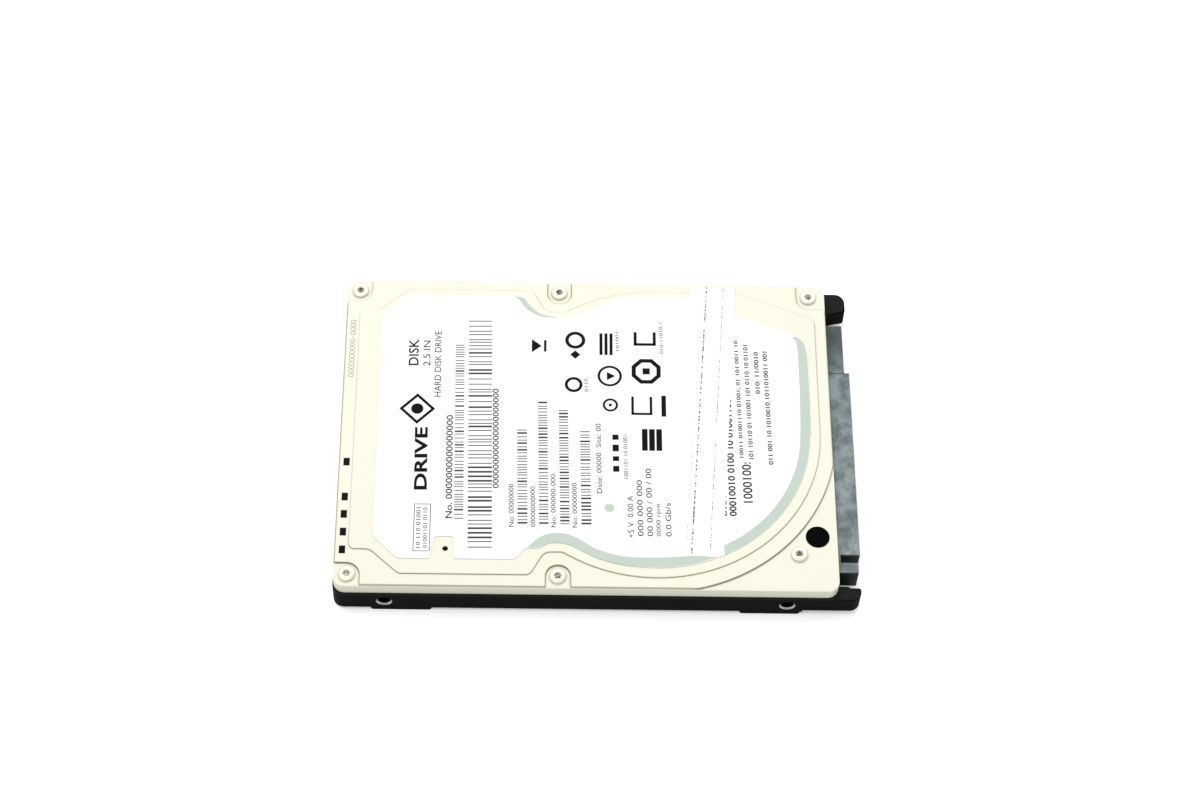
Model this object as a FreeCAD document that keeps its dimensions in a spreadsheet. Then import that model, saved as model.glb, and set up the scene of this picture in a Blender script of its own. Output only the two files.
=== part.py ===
import FreeCAD, Part
import math
import os
import re
import Sketcher
from FreeCAD import Placement, Rotation, Vector

doc = FreeCAD.newDocument("HardDiskDrive")
sheet = doc.addObject("Spreadsheet::Sheet", "Dims")

# Driving dimensions, in millimetres and degrees. X runs along the drive towards its connector,
# Y across it and Z up to the label. The origin is under the middle of the case.
DIMENSIONS = [
    # Case and mounting holes of the 2.5 inch form factor
    ("case_length", 100.35, "length over the ears"),
    ("case_width", 69.85, "width"),
    ("case_height", 9.5, "height over the label"),
    ("corner_round", 2.0, "outer corner radius of the casting"),
    ("hole_setback", 14.0, "connector end to the first mounting holes"),
    ("hole_span", 76.6, "mounting holes, along"),
    ("hole_gap", 61.72, "bottom mounting holes, across"),
    ("hole_radius", 1.25, "tapped M3 mounting hole"),
    ("hole_mouth", 0.45, "chamfer at a mounting hole"),
    ("bottom_hole_depth", 2.5, "depth of a bottom mounting hole"),
    ("side_hole_depth", 2.6, "depth of a side mounting hole"),
    ("side_hole_height", 3.0, "height of the side mounting holes"),
    # Levels of the casting
    ("rail_low", 0.9, "underside of the casting between its feet"),
    ("end_low", 1.5, "underside of the casting at the connector end"),
    ("floor_low", 2.4, "underside of the chamber floor"),
    ("floor_top", 3.0, "chamber floor"),
    ("ear_top", 5.8, "top of the ears"),
    ("rim_top", 5.95, "ledge under the cover's skirt"),
    ("boss_top", 8.2, "cover screw bosses"),
    ("boss_round", 1.6, "cover screw boss radius"),
    ("land_top", 8.1, "gasket land"),
    ("body_end", 46.0, "casting's end behind the connector"),
    ("wall_inset", 0.8, "upper wall inside the casting's side"),
    ("wall_end", 45.1, "upper wall at the connector end"),
    ("far_ear", 30.2, "inner side of the far ear"),
    ("near_ear", -32.2, "inner side of the near ear"),
    ("foot_outward", 2.7, "foot past its mounting hole, towards the drive's end"),
    ("foot_inward", 9.0, "foot past its mounting hole, towards the drive's middle"),
    ("foot_width", 7.6, "width of a foot"),
    # Cover, a pressed sheet with three levels
    ("skirt_low", 6.05, "lower edge of the cover's skirt"),
    ("pad_level", 8.7, "screw pads"),
    ("rim_level", 9.1, "cover rim"),
    ("crown_level", 9.35, "raised middle of the cover"),
    ("sheet_gauge", 0.5, "sheet thickness"),
    ("rim_bend", 0.45, "bend between the skirt and the rim"),
    ("crown_bend", 0.2, "bend at the raised middle"),
    ("pad_bend", 0.18, "bend at the upper edge of a low pad"),
    ("ear_edge", 0.3, "soft upper edge of the ears"),
    ("cover_left", -50.0, "cover's plain end"),
    ("cover_right", 45.7, "cover's connector end"),
    ("cover_side", 34.6, "half of the cover's width"),
    ("crown_radius", 32.4, "raised middle over the discs"),
    ("flat_radius", 35.3, "edge of the corner flat, about the motor"),
    ("breather_x", -28.95, "breather hole"),
    ("breather_y", -26.7, "breather hole"),
    ("breather_radius", 0.55, "breather hole"),
    ("port_x", 41.95, "servo port"),
    ("port_y", -22.95, "servo port"),
    ("port_radius", 1.6, "servo port"),
    ("port_seal_radius", 2.28, "foil over the servo port"),
    ("foil", 0.1, "thickness of the label and of the port seal"),
    ("seal_low", 9.45, "underside of the tamper strip"),
    ("seal_width", 9.2, "tamper strip"),
    ("gasket_low", 8.1, "gasket"),
    ("gasket_top", 8.6, "gasket"),
    ("gasket_inner", 0.05, "gasket's inner edge outside the chamber"),
    ("gasket_outer", 0.65, "gasket's outer edge outside the chamber"),
    # Small screws
    ("cover_head", 1.65, "cover screw head radius"),
    ("cover_head_height", 0.45, "cover screw head"),
    ("cover_shank", 0.85, "cover screw shank radius"),
    ("cover_screw_low", 5.2, "tip of a cover screw"),
    ("screw_play", 0.03, "radial gap round a screw"),
    ("small_shank", 0.7, "small screw shank radius"),
    ("small_head", 1.25, "small screw head radius"),
    ("small_head_height", 0.35, "small screw head"),
    ("drive_radius", 0.85, "screw recess"),
    # Spindle motor and discs, about the motor axis
    ("motor_x", 11.0, "motor axis"),
    ("motor_y", 0.0, "motor axis"),
    ("chamber_radius", 33.3, "round chamber"),
    ("boss_radius", 11.7, "motor boss under the floor"),
    ("boss_low", 0.6, "motor boss under the floor"),
    ("sleeve_radius", 4.2, "bearing sleeve"),
    ("sleeve_low", 1.1, "bearing sleeve"),
    ("sleeve_top", 5.7, "bearing sleeve"),
    ("shaft_radius", 1.5, "spindle shaft"),
    ("shaft_play", 0.03, "oil film"),
    ("shaft_low", 1.2, "spindle shaft"),
    ("stator_seat", 3.45, "seat of the stator"),
    ("stator_seat_radius", 5.4, "seat of the stator"),
    ("stator_inner", 4.3, "stator core"),
    ("stator_ring", 5.6, "stator core"),
    ("stator_outer", 8.2, "stator core"),
    ("stator_top", 4.65, "stator core"),
    ("tooth_width", 1.5, "stator tooth"),
    ("tooth_count", 9, "stator teeth"),
    ("coil_width", 2.5, "stator coil"),
    ("coil_inner", 5.75, "stator coil"),
    ("coil_outer", 7.5, "stator coil"),
    ("coil_over", 0.35, "stator coil above and below the core"),
    ("rotor_inner", 8.45, "rotor magnet"),
    ("rotor_outer", 9.3, "rotor magnet"),
    ("rotor_low", 4.0, "rotor magnet"),
    ("rotor_top", 6.2, "rotor magnet and hub ceiling"),
    ("hub_low", 3.9, "hub flange"),
    ("hub_flange", 11.6, "hub flange radius"),
    ("hub_radius", 9.98, "hub inside the discs"),
    ("hub_top", 7.15, "hub top"),
    ("disc_radius", 32.5, "disc"),
    ("disc_bore", 10.0, "disc bore"),
    ("disc_gauge", 0.635, "disc thickness"),
    ("lower_disc", 4.35, "underside of the lower disc"),
    ("upper_disc", 6.6, "underside of the upper disc"),
    ("spacer_inner", 10.05, "spacer ring"),
    ("spacer_outer", 11.8, "spacer ring"),
    ("clamp_radius", 12.2, "disc clamp"),
    ("clamp_gauge", 0.6, "disc clamp"),
    ("clamp_pitch", 6.0, "radius of the clamp screws' circle"),
    ("clamp_screw_count", 6, "clamp screws"),
    # Actuator, about the pivot axis
    ("pivot_x", -25.0, "pivot axis"),
    ("pivot_y", 12.0, "pivot axis"),
    ("park_angle", -76.1, "direction of the parked arms"),
    ("pivot_radius", 2.0, "pivot shaft"),
    ("pivot_play", 0.04, "running gap of the pivot"),
    ("pivot_sleeve_radius", 3.5, "pivot sleeve"),
    ("pivot_boss_radius", 3.0, "boss under the pivot"),
    ("arm_low", 3.25, "lowest arm"),
    ("arm_top", 8.2, "top of the arm block"),
    ("arm_block_radius", 5.0, "arm block"),
    ("arm_gauge", 0.5, "outer arms"),
    ("middle_arm_low", 5.5, "middle arm"),
    ("middle_arm_top", 6.1, "middle arm"),
    ("upper_arm_low", 7.75, "upper arm"),
    ("arm_reach", 22.5, "arm length"),
    ("arm_root", 8.6, "arm width at the block"),
    ("arm_tip", 4.6, "arm width at the tip"),
    ("head_reach", 32.5, "pivot to head"),
    ("tab_reach", 34.9, "pivot to the end of the lift tab"),
    ("beam_root", 4.0, "suspension width at the arm"),
    ("beam_tip", 1.2, "suspension width at the head"),
    ("beam_gauge", 0.15, "suspension thickness"),
    ("tab_width", 0.4, "lift tab"),
    ("slider_long", 1.25, "head slider"),
    ("slider_wide", 1.0, "head slider"),
    ("slider_high", 0.3, "head slider"),
    ("fly_gap", 0.03, "gap between slider and disc"),
    ("coil_angle", 103.9, "direction of the parked voice coil"),
    ("coil_low", 4.95, "voice coil"),
    ("coil_top", 6.35, "voice coil"),
    ("coil_half", 26.0, "half of the voice coil's spread"),
    ("coil_near", 9.4, "voice coil"),
    ("coil_far", 18.6, "voice coil"),
    ("coil_wire", 2.4, "width of the winding"),
    ("mould_half", 31.0, "half of the overmould's spread"),
    ("mould_far", 20.0, "overmould"),
    ("nub_far", 20.7, "catch of the overmould"),
    ("yoke_near", 7.0, "yokes"),
    ("yoke_far", 20.2, "yokes"),
    ("yoke_start", 73.0, "yokes"),
    ("yoke_end", 172.5, "yokes"),
    ("lower_yoke_top", 3.8, "lower yoke"),
    ("lower_magnet_top", 4.75, "lower magnet"),
    ("upper_magnet_low", 6.55, "upper magnet"),
    ("upper_yoke_low", 7.5, "upper yoke"),
    ("upper_yoke_top", 8.3, "upper yoke"),
    ("magnet_near", 8.6, "magnets"),
    ("magnet_far", 19.6, "magnets"),
    ("magnet_margin", 3.0, "magnets inside the yokes' ends, degrees"),
    ("post_reach", 18.6, "yoke posts from the pivot"),
    ("post_radius", 1.3, "yoke posts"),
    ("post_start", 66.1, "direction of a yoke post"),
    ("post_end", 179.1, "direction of a yoke post"),
    ("stop_reach", 12.6, "crash stops from the pivot"),
    ("stop_radius", 0.9, "crash stops"),
    ("stop_start", 67.1, "direction of a crash stop"),
    ("stop_end", 178.5, "direction of a crash stop"),
    # Ramp, latch, filters and flex bracket
    ("ramp_near", 33.6, "ramp from the pivot"),
    ("ramp_far", 36.3, "ramp from the pivot"),
    ("ramp_start", -81.5, "ramp"),
    ("ramp_end", -74.3, "ramp"),
    ("ramp_top", 8.3, "ramp"),
    ("ramp_foot_top", 4.4, "ramp's foot"),
    ("ramp_screw_x", -22.0, "ramp screw"),
    ("ramp_screw_y", -27.3, "ramp screw"),
    ("ramp_groove", 0.6, "height of a ramp groove"),
    ("latch_x", -45.25, "latch pin"),
    ("latch_y", 20.6, "latch pin"),
    ("latch_near", 21.05, "latch from the pivot axis"),
    ("latch_far", 22.2, "latch from the pivot axis"),
    ("latch_tip", 139.5, "direction of the latch's hook from the pivot axis"),
    ("latch_heel", 165.0, "direction of the latch's weight from the pivot axis"),
    ("latch_pin_radius", 0.6, "latch pin"),
    ("latch_play", 0.05, "running gap of the latch"),
    ("latch_hub", 1.0, "latch hub radius"),
    ("latch_low", 4.6, "latch"),
    ("latch_top", 6.6, "latch"),
    ("latch_seat", 4.5, "shoulder of the latch pin"),
    ("filter_top", 8.3, "filters"),
    ("bracket_top", 7.7, "flex bracket"),
    ("bracket_plate", 3.8, "flex bracket"),
    ("flex_gauge", 0.12, "flex cable"),
    ("flex_turn", 35.0, "first bend of the flex cable, degrees"),
    ("flex_low", 4.4, "flex cable"),
    ("flex_top", 7.4, "flex cable"),
    # Circuit board and its parts
    ("board_low", 0.5, "circuit board"),
    ("board_top", 1.3, "circuit board"),
    ("board_left", -21.0, "circuit board"),
    ("board_right", 45.8, "circuit board"),
    ("board_tab_left", -44.0, "tab of the board under the head connector"),
    ("board_side", 32.6, "circuit board"),
    ("board_cut_radius", 12.2, "round cut-out at the motor boss"),
    ("board_gap", 0.4, "gap round the circuit board"),
    ("chip_high", 0.8, "chips"),
    ("insulator_low", 2.24, "insulating sheet"),
    ("insulator_top", 2.38, "insulating sheet"),
    # Connectors
    ("plug_back", 45.25, "back of the connectors"),
    ("plug_face", 50.15, "mouth of the serial ATA connector"),
    ("plug_centre", -5.0, "middle of the serial ATA connector"),
    ("plug_top", 6.7, "serial ATA connector"),
    ("plug_left", -25.6, "serial ATA shroud"),
    ("plug_right", 15.4, "serial ATA shroud"),
    ("plug_wall", 0.8, "shroud walls"),
    ("plug_step", 45.85, "where the shroud clears the cover's skirt"),
    ("plug_rear", 46.4, "back wall of the shroud"),
    ("tongue_low", 3.0, "tongue"),
    ("tongue_gauge", 1.23, "tongue"),
    ("tongue_face", 49.4, "end of the tongue"),
    ("power_width", 20.57, "power tongue"),
    ("signal_width", 10.41, "signal tongue"),
    ("tongue_gap", 2.41, "between the tongues"),
    ("contact_pitch", 1.27, "contacts"),
    ("contact_width", 0.84, "contacts"),
    ("contact_gauge", 0.15, "contacts"),
    ("contact_face", 49.1, "end of the contacts"),
    ("power_contacts", 15, "contacts of the power tongue"),
    ("signal_contacts", 7, "contacts of the signal tongue"),
    ("jumper_low", 15.5, "jumper header"),
    ("jumper_high", 26.9, "jumper header"),
    ("jumper_face", 49.2, "mouth of the jumper header"),
    ("jumper_top", 6.2, "jumper header"),
    ("jumper_pitch", 2.0, "jumper pins"),
    ("jumper_pin", 0.5, "jumper pins"),
    ("jumper_pin_low", 3.35, "jumper pins"),
]

aliases = set()
for row, (alias, number, note) in enumerate(DIMENSIONS, start=1):
    sheet.set(f"A{row}", note)
    sheet.set(f"B{row}", str(number))
    sheet.setAlias(f"B{row}", alias)
    aliases.add(alias)
doc.recompute()


class Sizes:
    """The sheet's values, read by name."""

    def __getattr__(self, alias):
        return float(sheet.get(alias))


size = Sizes()
nodes = []


def bound(formula):
    """A formula in the sheet's names, as FreeCAD writes it."""
    def name(found):
        word = found.group()
        return "Dims." + word if word in aliases else word
    return re.sub(r"[A-Za-z_]\w*", name, str(formula))


def origin_feature(body, role):
    for feature in body.Origin.OriginFeatures:
        if feature.Role == role:
            return feature


def new_body(label, x=None, y=None):
    """An empty body, placed on the axis through x and y where they are given."""
    body = doc.addObject("PartDesign::Body", label)
    body.Label = label
    if x:
        body.setExpression(".Placement.Base.x", bound(x))
        body.setExpression(".Placement.Base.y", bound(y))
    return body


def keep(thing):
    """Mark an object as a sub-part of the drive."""
    nodes.append(thing)
    return thing


def new_sketch(body, height="0", plane="XY_Plane"):
    """A sketch on one of the body's planes, at a height along the plane's normal."""
    sketch = body.newObject("Sketcher::SketchObject", body.Label + "_sketch")
    sketch.AttachmentSupport = (origin_feature(body, plane), [""])
    sketch.MapMode = "FlatFace"
    sketch.setExpression(".AttachmentOffset.Base.z", bound(height))
    return sketch


def dimension(sketch, kind, places, formula):
    """A dimension of the sketch that follows the sheet."""
    index = sketch.addConstraint(Sketcher.Constraint(kind, *places, 1.0))
    sketch.setExpression(f"Constraints[{index}]", bound(formula))


def draw_circle(radius, x="0", y="0"):
    def draw(sketch):
        index = sketch.addGeometry(Part.Circle(Vector(1, 1, 0), Vector(0, 0, 1), 1), False)
        dimension(sketch, "Radius", (index,), radius)
        dimension(sketch, "DistanceX", (-1, 1, index, 3), x)
        dimension(sketch, "DistanceY", (-1, 1, index, 3), y)
    return draw


def draw_box(x_low, y_low, x_high, y_high):
    def draw(sketch):
        spots = [Vector(0, 0, 0), Vector(1, 0, 0), Vector(1, 1, 0), Vector(0, 1, 0)]
        lines = [Part.LineSegment(spots[n], spots[(n + 1) % 4]) for n in range(4)]
        first = sketch.addGeometry(lines, False)[0]
        for n in range(4):
            following = first + (n + 1) % 4
            sketch.addConstraint(Sketcher.Constraint("Coincident", first + n, 2, following, 1))
            kind = "Horizontal" if n % 2 == 0 else "Vertical"
            sketch.addConstraint(Sketcher.Constraint(kind, first + n))
        dimension(sketch, "DistanceX", (-1, 1, first, 1), x_low)
        dimension(sketch, "DistanceY", (-1, 1, first, 1), y_low)
        dimension(sketch, "DistanceX", (-1, 1, first + 2, 1), x_high)
        dimension(sketch, "DistanceY", (-1, 1, first + 2, 1), y_high)
    return draw


def polar(reach, angle, x=0.0, y=0.0):
    turn = math.radians(angle)
    return Vector(x + reach * math.cos(turn), y + reach * math.sin(turn), 0)


def rounded_outline(items):
    """The closed outline through items: corners (x, y, radius) and arcs (x, y, radius, from, to)."""
    def end(item, leaving):
        if len(item) == 3:
            return Vector(item[0], item[1], 0)
        return polar(item[2], item[4] if leaving else item[3], item[0], item[1])

    stretches = []
    for index, item in enumerate(items):
        if len(item) == 5:
            middle = polar(item[2], (item[3] + item[4]) / 2, item[0], item[1])
            stretches.append((end(item, False), middle, end(item, True)))
            continue
        corner = end(item, False)
        back = (end(items[index - 1], True) - corner).normalize()
        ahead = (end(items[(index + 1) % len(items)], False) - corner).normalize()
        half = back.getAngle(ahead) / 2
        inward = (back + ahead).normalize()
        setback = item[2] / math.tan(half)
        middle = corner + inward * (item[2] / math.sin(half) - item[2])
        stretches.append((corner + back * setback, middle, corner + ahead * setback))
    geometry = []
    for index, (entry, middle, leave) in enumerate(stretches):
        if entry.distanceToPoint(leave) > 1e-6:
            geometry.append(Part.Arc(entry, middle, leave))
        following = stretches[(index + 1) % len(stretches)][0]
        if leave.distanceToPoint(following) > 1e-6:
            geometry.append(Part.LineSegment(leave, following))
    return geometry


def draw_outline(items, grow=0.0):
    """An outline of corners and arcs, moved outwards by grow."""
    def draw(sketch):
        geometry = rounded_outline(items)
        if grow:
            wire = Part.Wire([piece.toShape() for piece in geometry])
            geometry = []
            for edge in wire.makeOffset2D(grow).Edges:
                first, last = edge.ParameterRange
                ends = edge.valueAt(first), edge.valueAt(last)
                if isinstance(edge.Curve, Part.Circle):
                    geometry.append(Part.Arc(ends[0], edge.valueAt((first + last) / 2), ends[1]))
                else:
                    geometry.append(Part.LineSegment(*ends))
        sketch.addGeometry(geometry, False)
    return draw


def draw_sector(near, far, start, end):
    """A sector of a ring about the sketch's origin."""
    return draw_outline([(0, 0, far, start, end), (0, 0, near, end, start)])


def pad(body, draw, low, high):
    """Add the drawn outline from one height to another."""
    feature = body.newObject("PartDesign::Pad", body.Label + "_pad")
    feature.Profile = sketched(body, draw, low)
    feature.setExpression("Length", bound(f"({high}) - ({low})"))
    return feature


def cut(body, draw, low, high):
    """Remove the drawn outline from one height to another."""
    feature = body.newObject("PartDesign::Pocket", body.Label + "_pocket")
    feature.Profile = sketched(body, draw, high)
    feature.setExpression("Length", bound(f"({high}) - ({low})"))
    return feature


def sketched(body, draw, height, plane="XY_Plane"):
    sketch = new_sketch(body, height, plane)
    for drawing in draw if isinstance(draw, list) else [draw]:
        drawing(sketch)
    sketch.Visibility = False
    return sketch


def revolve(body, profile):
    """Turn a profile of (radius, height) corners, given as formulas, about the body's Z axis."""
    def draw(sketch):
        spots = [Vector(1 + n % 2, n, 0) for n in range(len(profile))]
        lines = [Part.LineSegment(spots[n - 1], spots[n]) for n in range(len(profile))]
        sketch.addGeometry(lines, False)
        for n, (radius, height) in enumerate(profile):
            sketch.addConstraint(Sketcher.Constraint("Coincident", n, 2, (n + 1) % len(profile), 1))
            dimension(sketch, "DistanceX", (-1, 1, n, 2), radius)
            dimension(sketch, "DistanceY", (-1, 1, n, 2), height)
    feature = body.newObject("PartDesign::Revolution", body.Label + "_revolution")
    feature.Profile = sketched(body, draw, "0", "XZ_Plane")
    feature.ReferenceAxis = (feature.Profile[0], ["V_Axis"])
    feature.Angle = 360
    return feature


def repeat_round(body, feature, count):
    pattern = body.newObject("PartDesign::PolarPattern", body.Label + "_pattern")
    pattern.Originals = [feature]
    pattern.Axis = (origin_feature(body, "Z_Axis"), [""])
    pattern.Angle = 360
    pattern.setExpression("Occurrences", bound(count))
    body.Tip = pattern
    return pattern


def dress(body, kind, wanted, amount):
    """A Fillet or Chamfer on the edges of the body's last feature that wanted picks out."""
    doc.recompute()
    last = body.Tip
    names = [f"Edge{n}" for n, edge in enumerate(last.Shape.Edges, start=1) if wanted(edge)]
    feature = body.newObject("PartDesign::" + kind, body.Label + "_" + kind.lower())
    feature.Base = (last, names)
    setattr(feature, "Radius" if kind == "Fillet" else "Size", amount)
    return feature


def level(edge, height):
    box = edge.BoundBox
    return abs(box.ZMin - height) < 1e-4 and abs(box.ZMax - height) < 1e-4


def group(label, piece, places):
    """Separate copies of one piece as a single sub-part: places are (x, y, z, turn about Z)."""
    links = []
    for x, y, z, turn in places:
        link = doc.addObject("App::Link", f"{label}_{len(links) + 1}")
        link.LinkedObject = piece
        link.Placement = Placement(Vector(x, y, z), Rotation(Vector(0, 0, 1), turn))
        links.append(link)
    compound = doc.addObject("Part::Compound", label)
    compound.Label = label
    compound.Links = links
    return keep(compound)


def ring(label, inner, outer, low, high, x=None, y=None):
    """A plain ring or, with inner None, a plain disc."""
    body = new_body(label, x, y)
    drawings = [draw_circle(outer)] if inner is None else [draw_circle(outer), draw_circle(inner)]
    pad(body, drawings, low, high)
    return body


def block(label, x_low, y_low, x_high, y_high, low, high):
    body = new_body(label)
    pad(body, draw_box(x_low, y_low, x_high, y_high), low, high)
    return body


# Places shared by several pieces
hole_x = (size.case_length / 2 - size.hole_setback - size.hole_span,
          size.case_length / 2 - size.hole_setback)
case_left = -size.case_length / 2
case_side = size.case_width / 2
motor = (size.motor_x, size.motor_y)
pivot = (size.pivot_x, size.pivot_y)
COVER_SCREWS = [(-47.4, 32.1), (-47.4, -32.1), (-7.6, 32.2), (-7.6, -32.1), (42.4, 31.9), (38.3, -26.8)]
BOARD_SCREWS = [(-18.2, 28.5), (-18.2, -28.5), (24.0, 29.6), (24.0, -29.6), (42.6, 3.0)]
POSTS = [(size.post_reach, size.post_start), (size.post_reach, size.post_end)]


def chamber_bay(grow=0.0):
    """Actuator bay of the sealed chamber, with a bulge kept round the middle cover screws."""
    corners = [
        (-46.9, -26.5, 1.2), (-43.0, -26.5, 2.0), (-37.6, -32.4, 1.5), (-13.2, -32.4, 1.5),
        (-10.4, -27.6, 2.0), (-4.0, -27.6, 0.0), (-4.0, 27.6, 0.0), (-10.4, 27.6, 2.0),
        (-13.2, 32.6, 1.5), (-37.6, 32.6, 1.5), (-43.0, 26.7, 2.0), (-46.9, 26.7, 1.2),
    ]
    return draw_outline(corners, grow)


def chamber_corner(grow=0.0):
    """Corner of the chamber that holds the recirculation filter."""
    corners = [
        (11.0, 0.0, 0.0), (44.3, 0.0, 0.0), (44.3, 25.2, 2.0), (29.3, 33.3, 2.0), (11.0, 33.3, 0.0),
    ]
    return draw_outline(corners, grow)


def chamber_round(grow="0"):
    return draw_circle(f"chamber_radius + ({grow})", "motor_x", "motor_y")


def crown_regions(grow=0.0):
    """The three overlapping outlines of the cover's raised middle."""
    bay = [
        (-47.3, -26.9, 1.2), (-43.3, -26.9, 2.4), (-37.7, -32.05, 1.5), (-12.9, -32.05, 1.5),
        (-10.2, -27.1, 2.2), (-3.0, -27.1, 0.0), (-3.0, 27.3, 0.0), (-10.3, 27.3, 2.2),
        (-12.9, 32.3, 1.5), (-37.7, 32.3, 1.5), (-43.4, 27.2, 2.4), (-47.3, 27.2, 1.2),
    ]
    corner = [
        (11.0, 0.0, 0.0), (43.4, 0.0, 0.0), (43.4, 26.2, 1.6), (28.9, 32.3, 2.4), (11.0, 32.3, 0.0),
    ]
    disc = draw_circle(f"crown_radius + ({grow})", "motor_x", "motor_y")
    return [draw_outline(bay, grow), draw_outline(corner, grow), disc]


def pad_regions(grow=0.0):
    """The low places of the cover, where its screws sit, each reaching past the cover's edge."""
    far, near = 37.0, -37.0
    flat = [
        (motor[0], motor[1], size.flat_radius - grow, -90.0, -4.0), (48.0, -2.5, 0.0),
        (48.0, near, 0.0), (motor[0], near, 0.0),
    ]
    regions = [
        draw_outline([(-52.0, 29.4, 0.0), (-45.0, 29.4, 2.7), (-45.0, far, 0.0), (-52.0, far, 0.0)], grow),
        draw_outline([(-52.0, near, 0.0), (-44.9, near, 0.0), (-44.9, -29.7, 2.7), (-52.0, -29.7, 0.0)], grow),
        draw_outline([(-10.0, 29.4, 2.4), (-5.1, 29.4, 2.4), (-5.1, far, 0.0), (-10.0, far, 0.0)], grow),
        draw_outline([(-10.0, near, 0.0), (-5.1, near, 0.0), (-5.1, -29.75, 2.4), (-10.0, -29.75, 2.4)], grow),
        draw_outline([(39.95, 28.85, 2.5), (48.0, 28.85, 0.0), (48.0, far, 0.0), (39.95, far, 0.0)], grow),
    ]
    return regions + [draw_outline(flat)]


def plan(left, right, side, radius):
    """A rectangle with round corners, half as wide as side each way."""
    return draw_outline([(left, -side, radius), (right, -side, radius), (right, side, radius),
                         (left, side, radius)])


def board_outline(gap=0.0):
    """The board's outline with its tab and the notches at the feet, moved outwards by gap."""
    notch_left = hole_x[1] - size.foot_inward - 0.6
    notch_right = hole_x[1] + size.foot_outward + 0.6
    notch_side = case_side - size.foot_width - 0.5
    corners = [
        (size.board_left, -size.board_side, 1.0), (notch_left, -size.board_side, 0.6),
        (notch_left, -notch_side, 0.6), (notch_right, -notch_side, 0.6),
        (notch_right, -size.board_side, 0.6), (48.6, -size.board_side, 0.4), (48.6, -29.6, 0.4),
        (size.board_right, -29.6, 0.4), (size.board_right, 26.6, 0.6), (notch_left, 26.6, 0.6),
        (notch_left, size.board_side, 0.6), (size.board_left, size.board_side, 1.0),
        (size.board_left, -4.0, 0.8), (size.board_tab_left, -4.0, 0.8), (size.board_tab_left, -26.0, 0.8),
        (size.board_left, -26.0, 0.8),
    ]
    return draw_outline(corners, gap)


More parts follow.
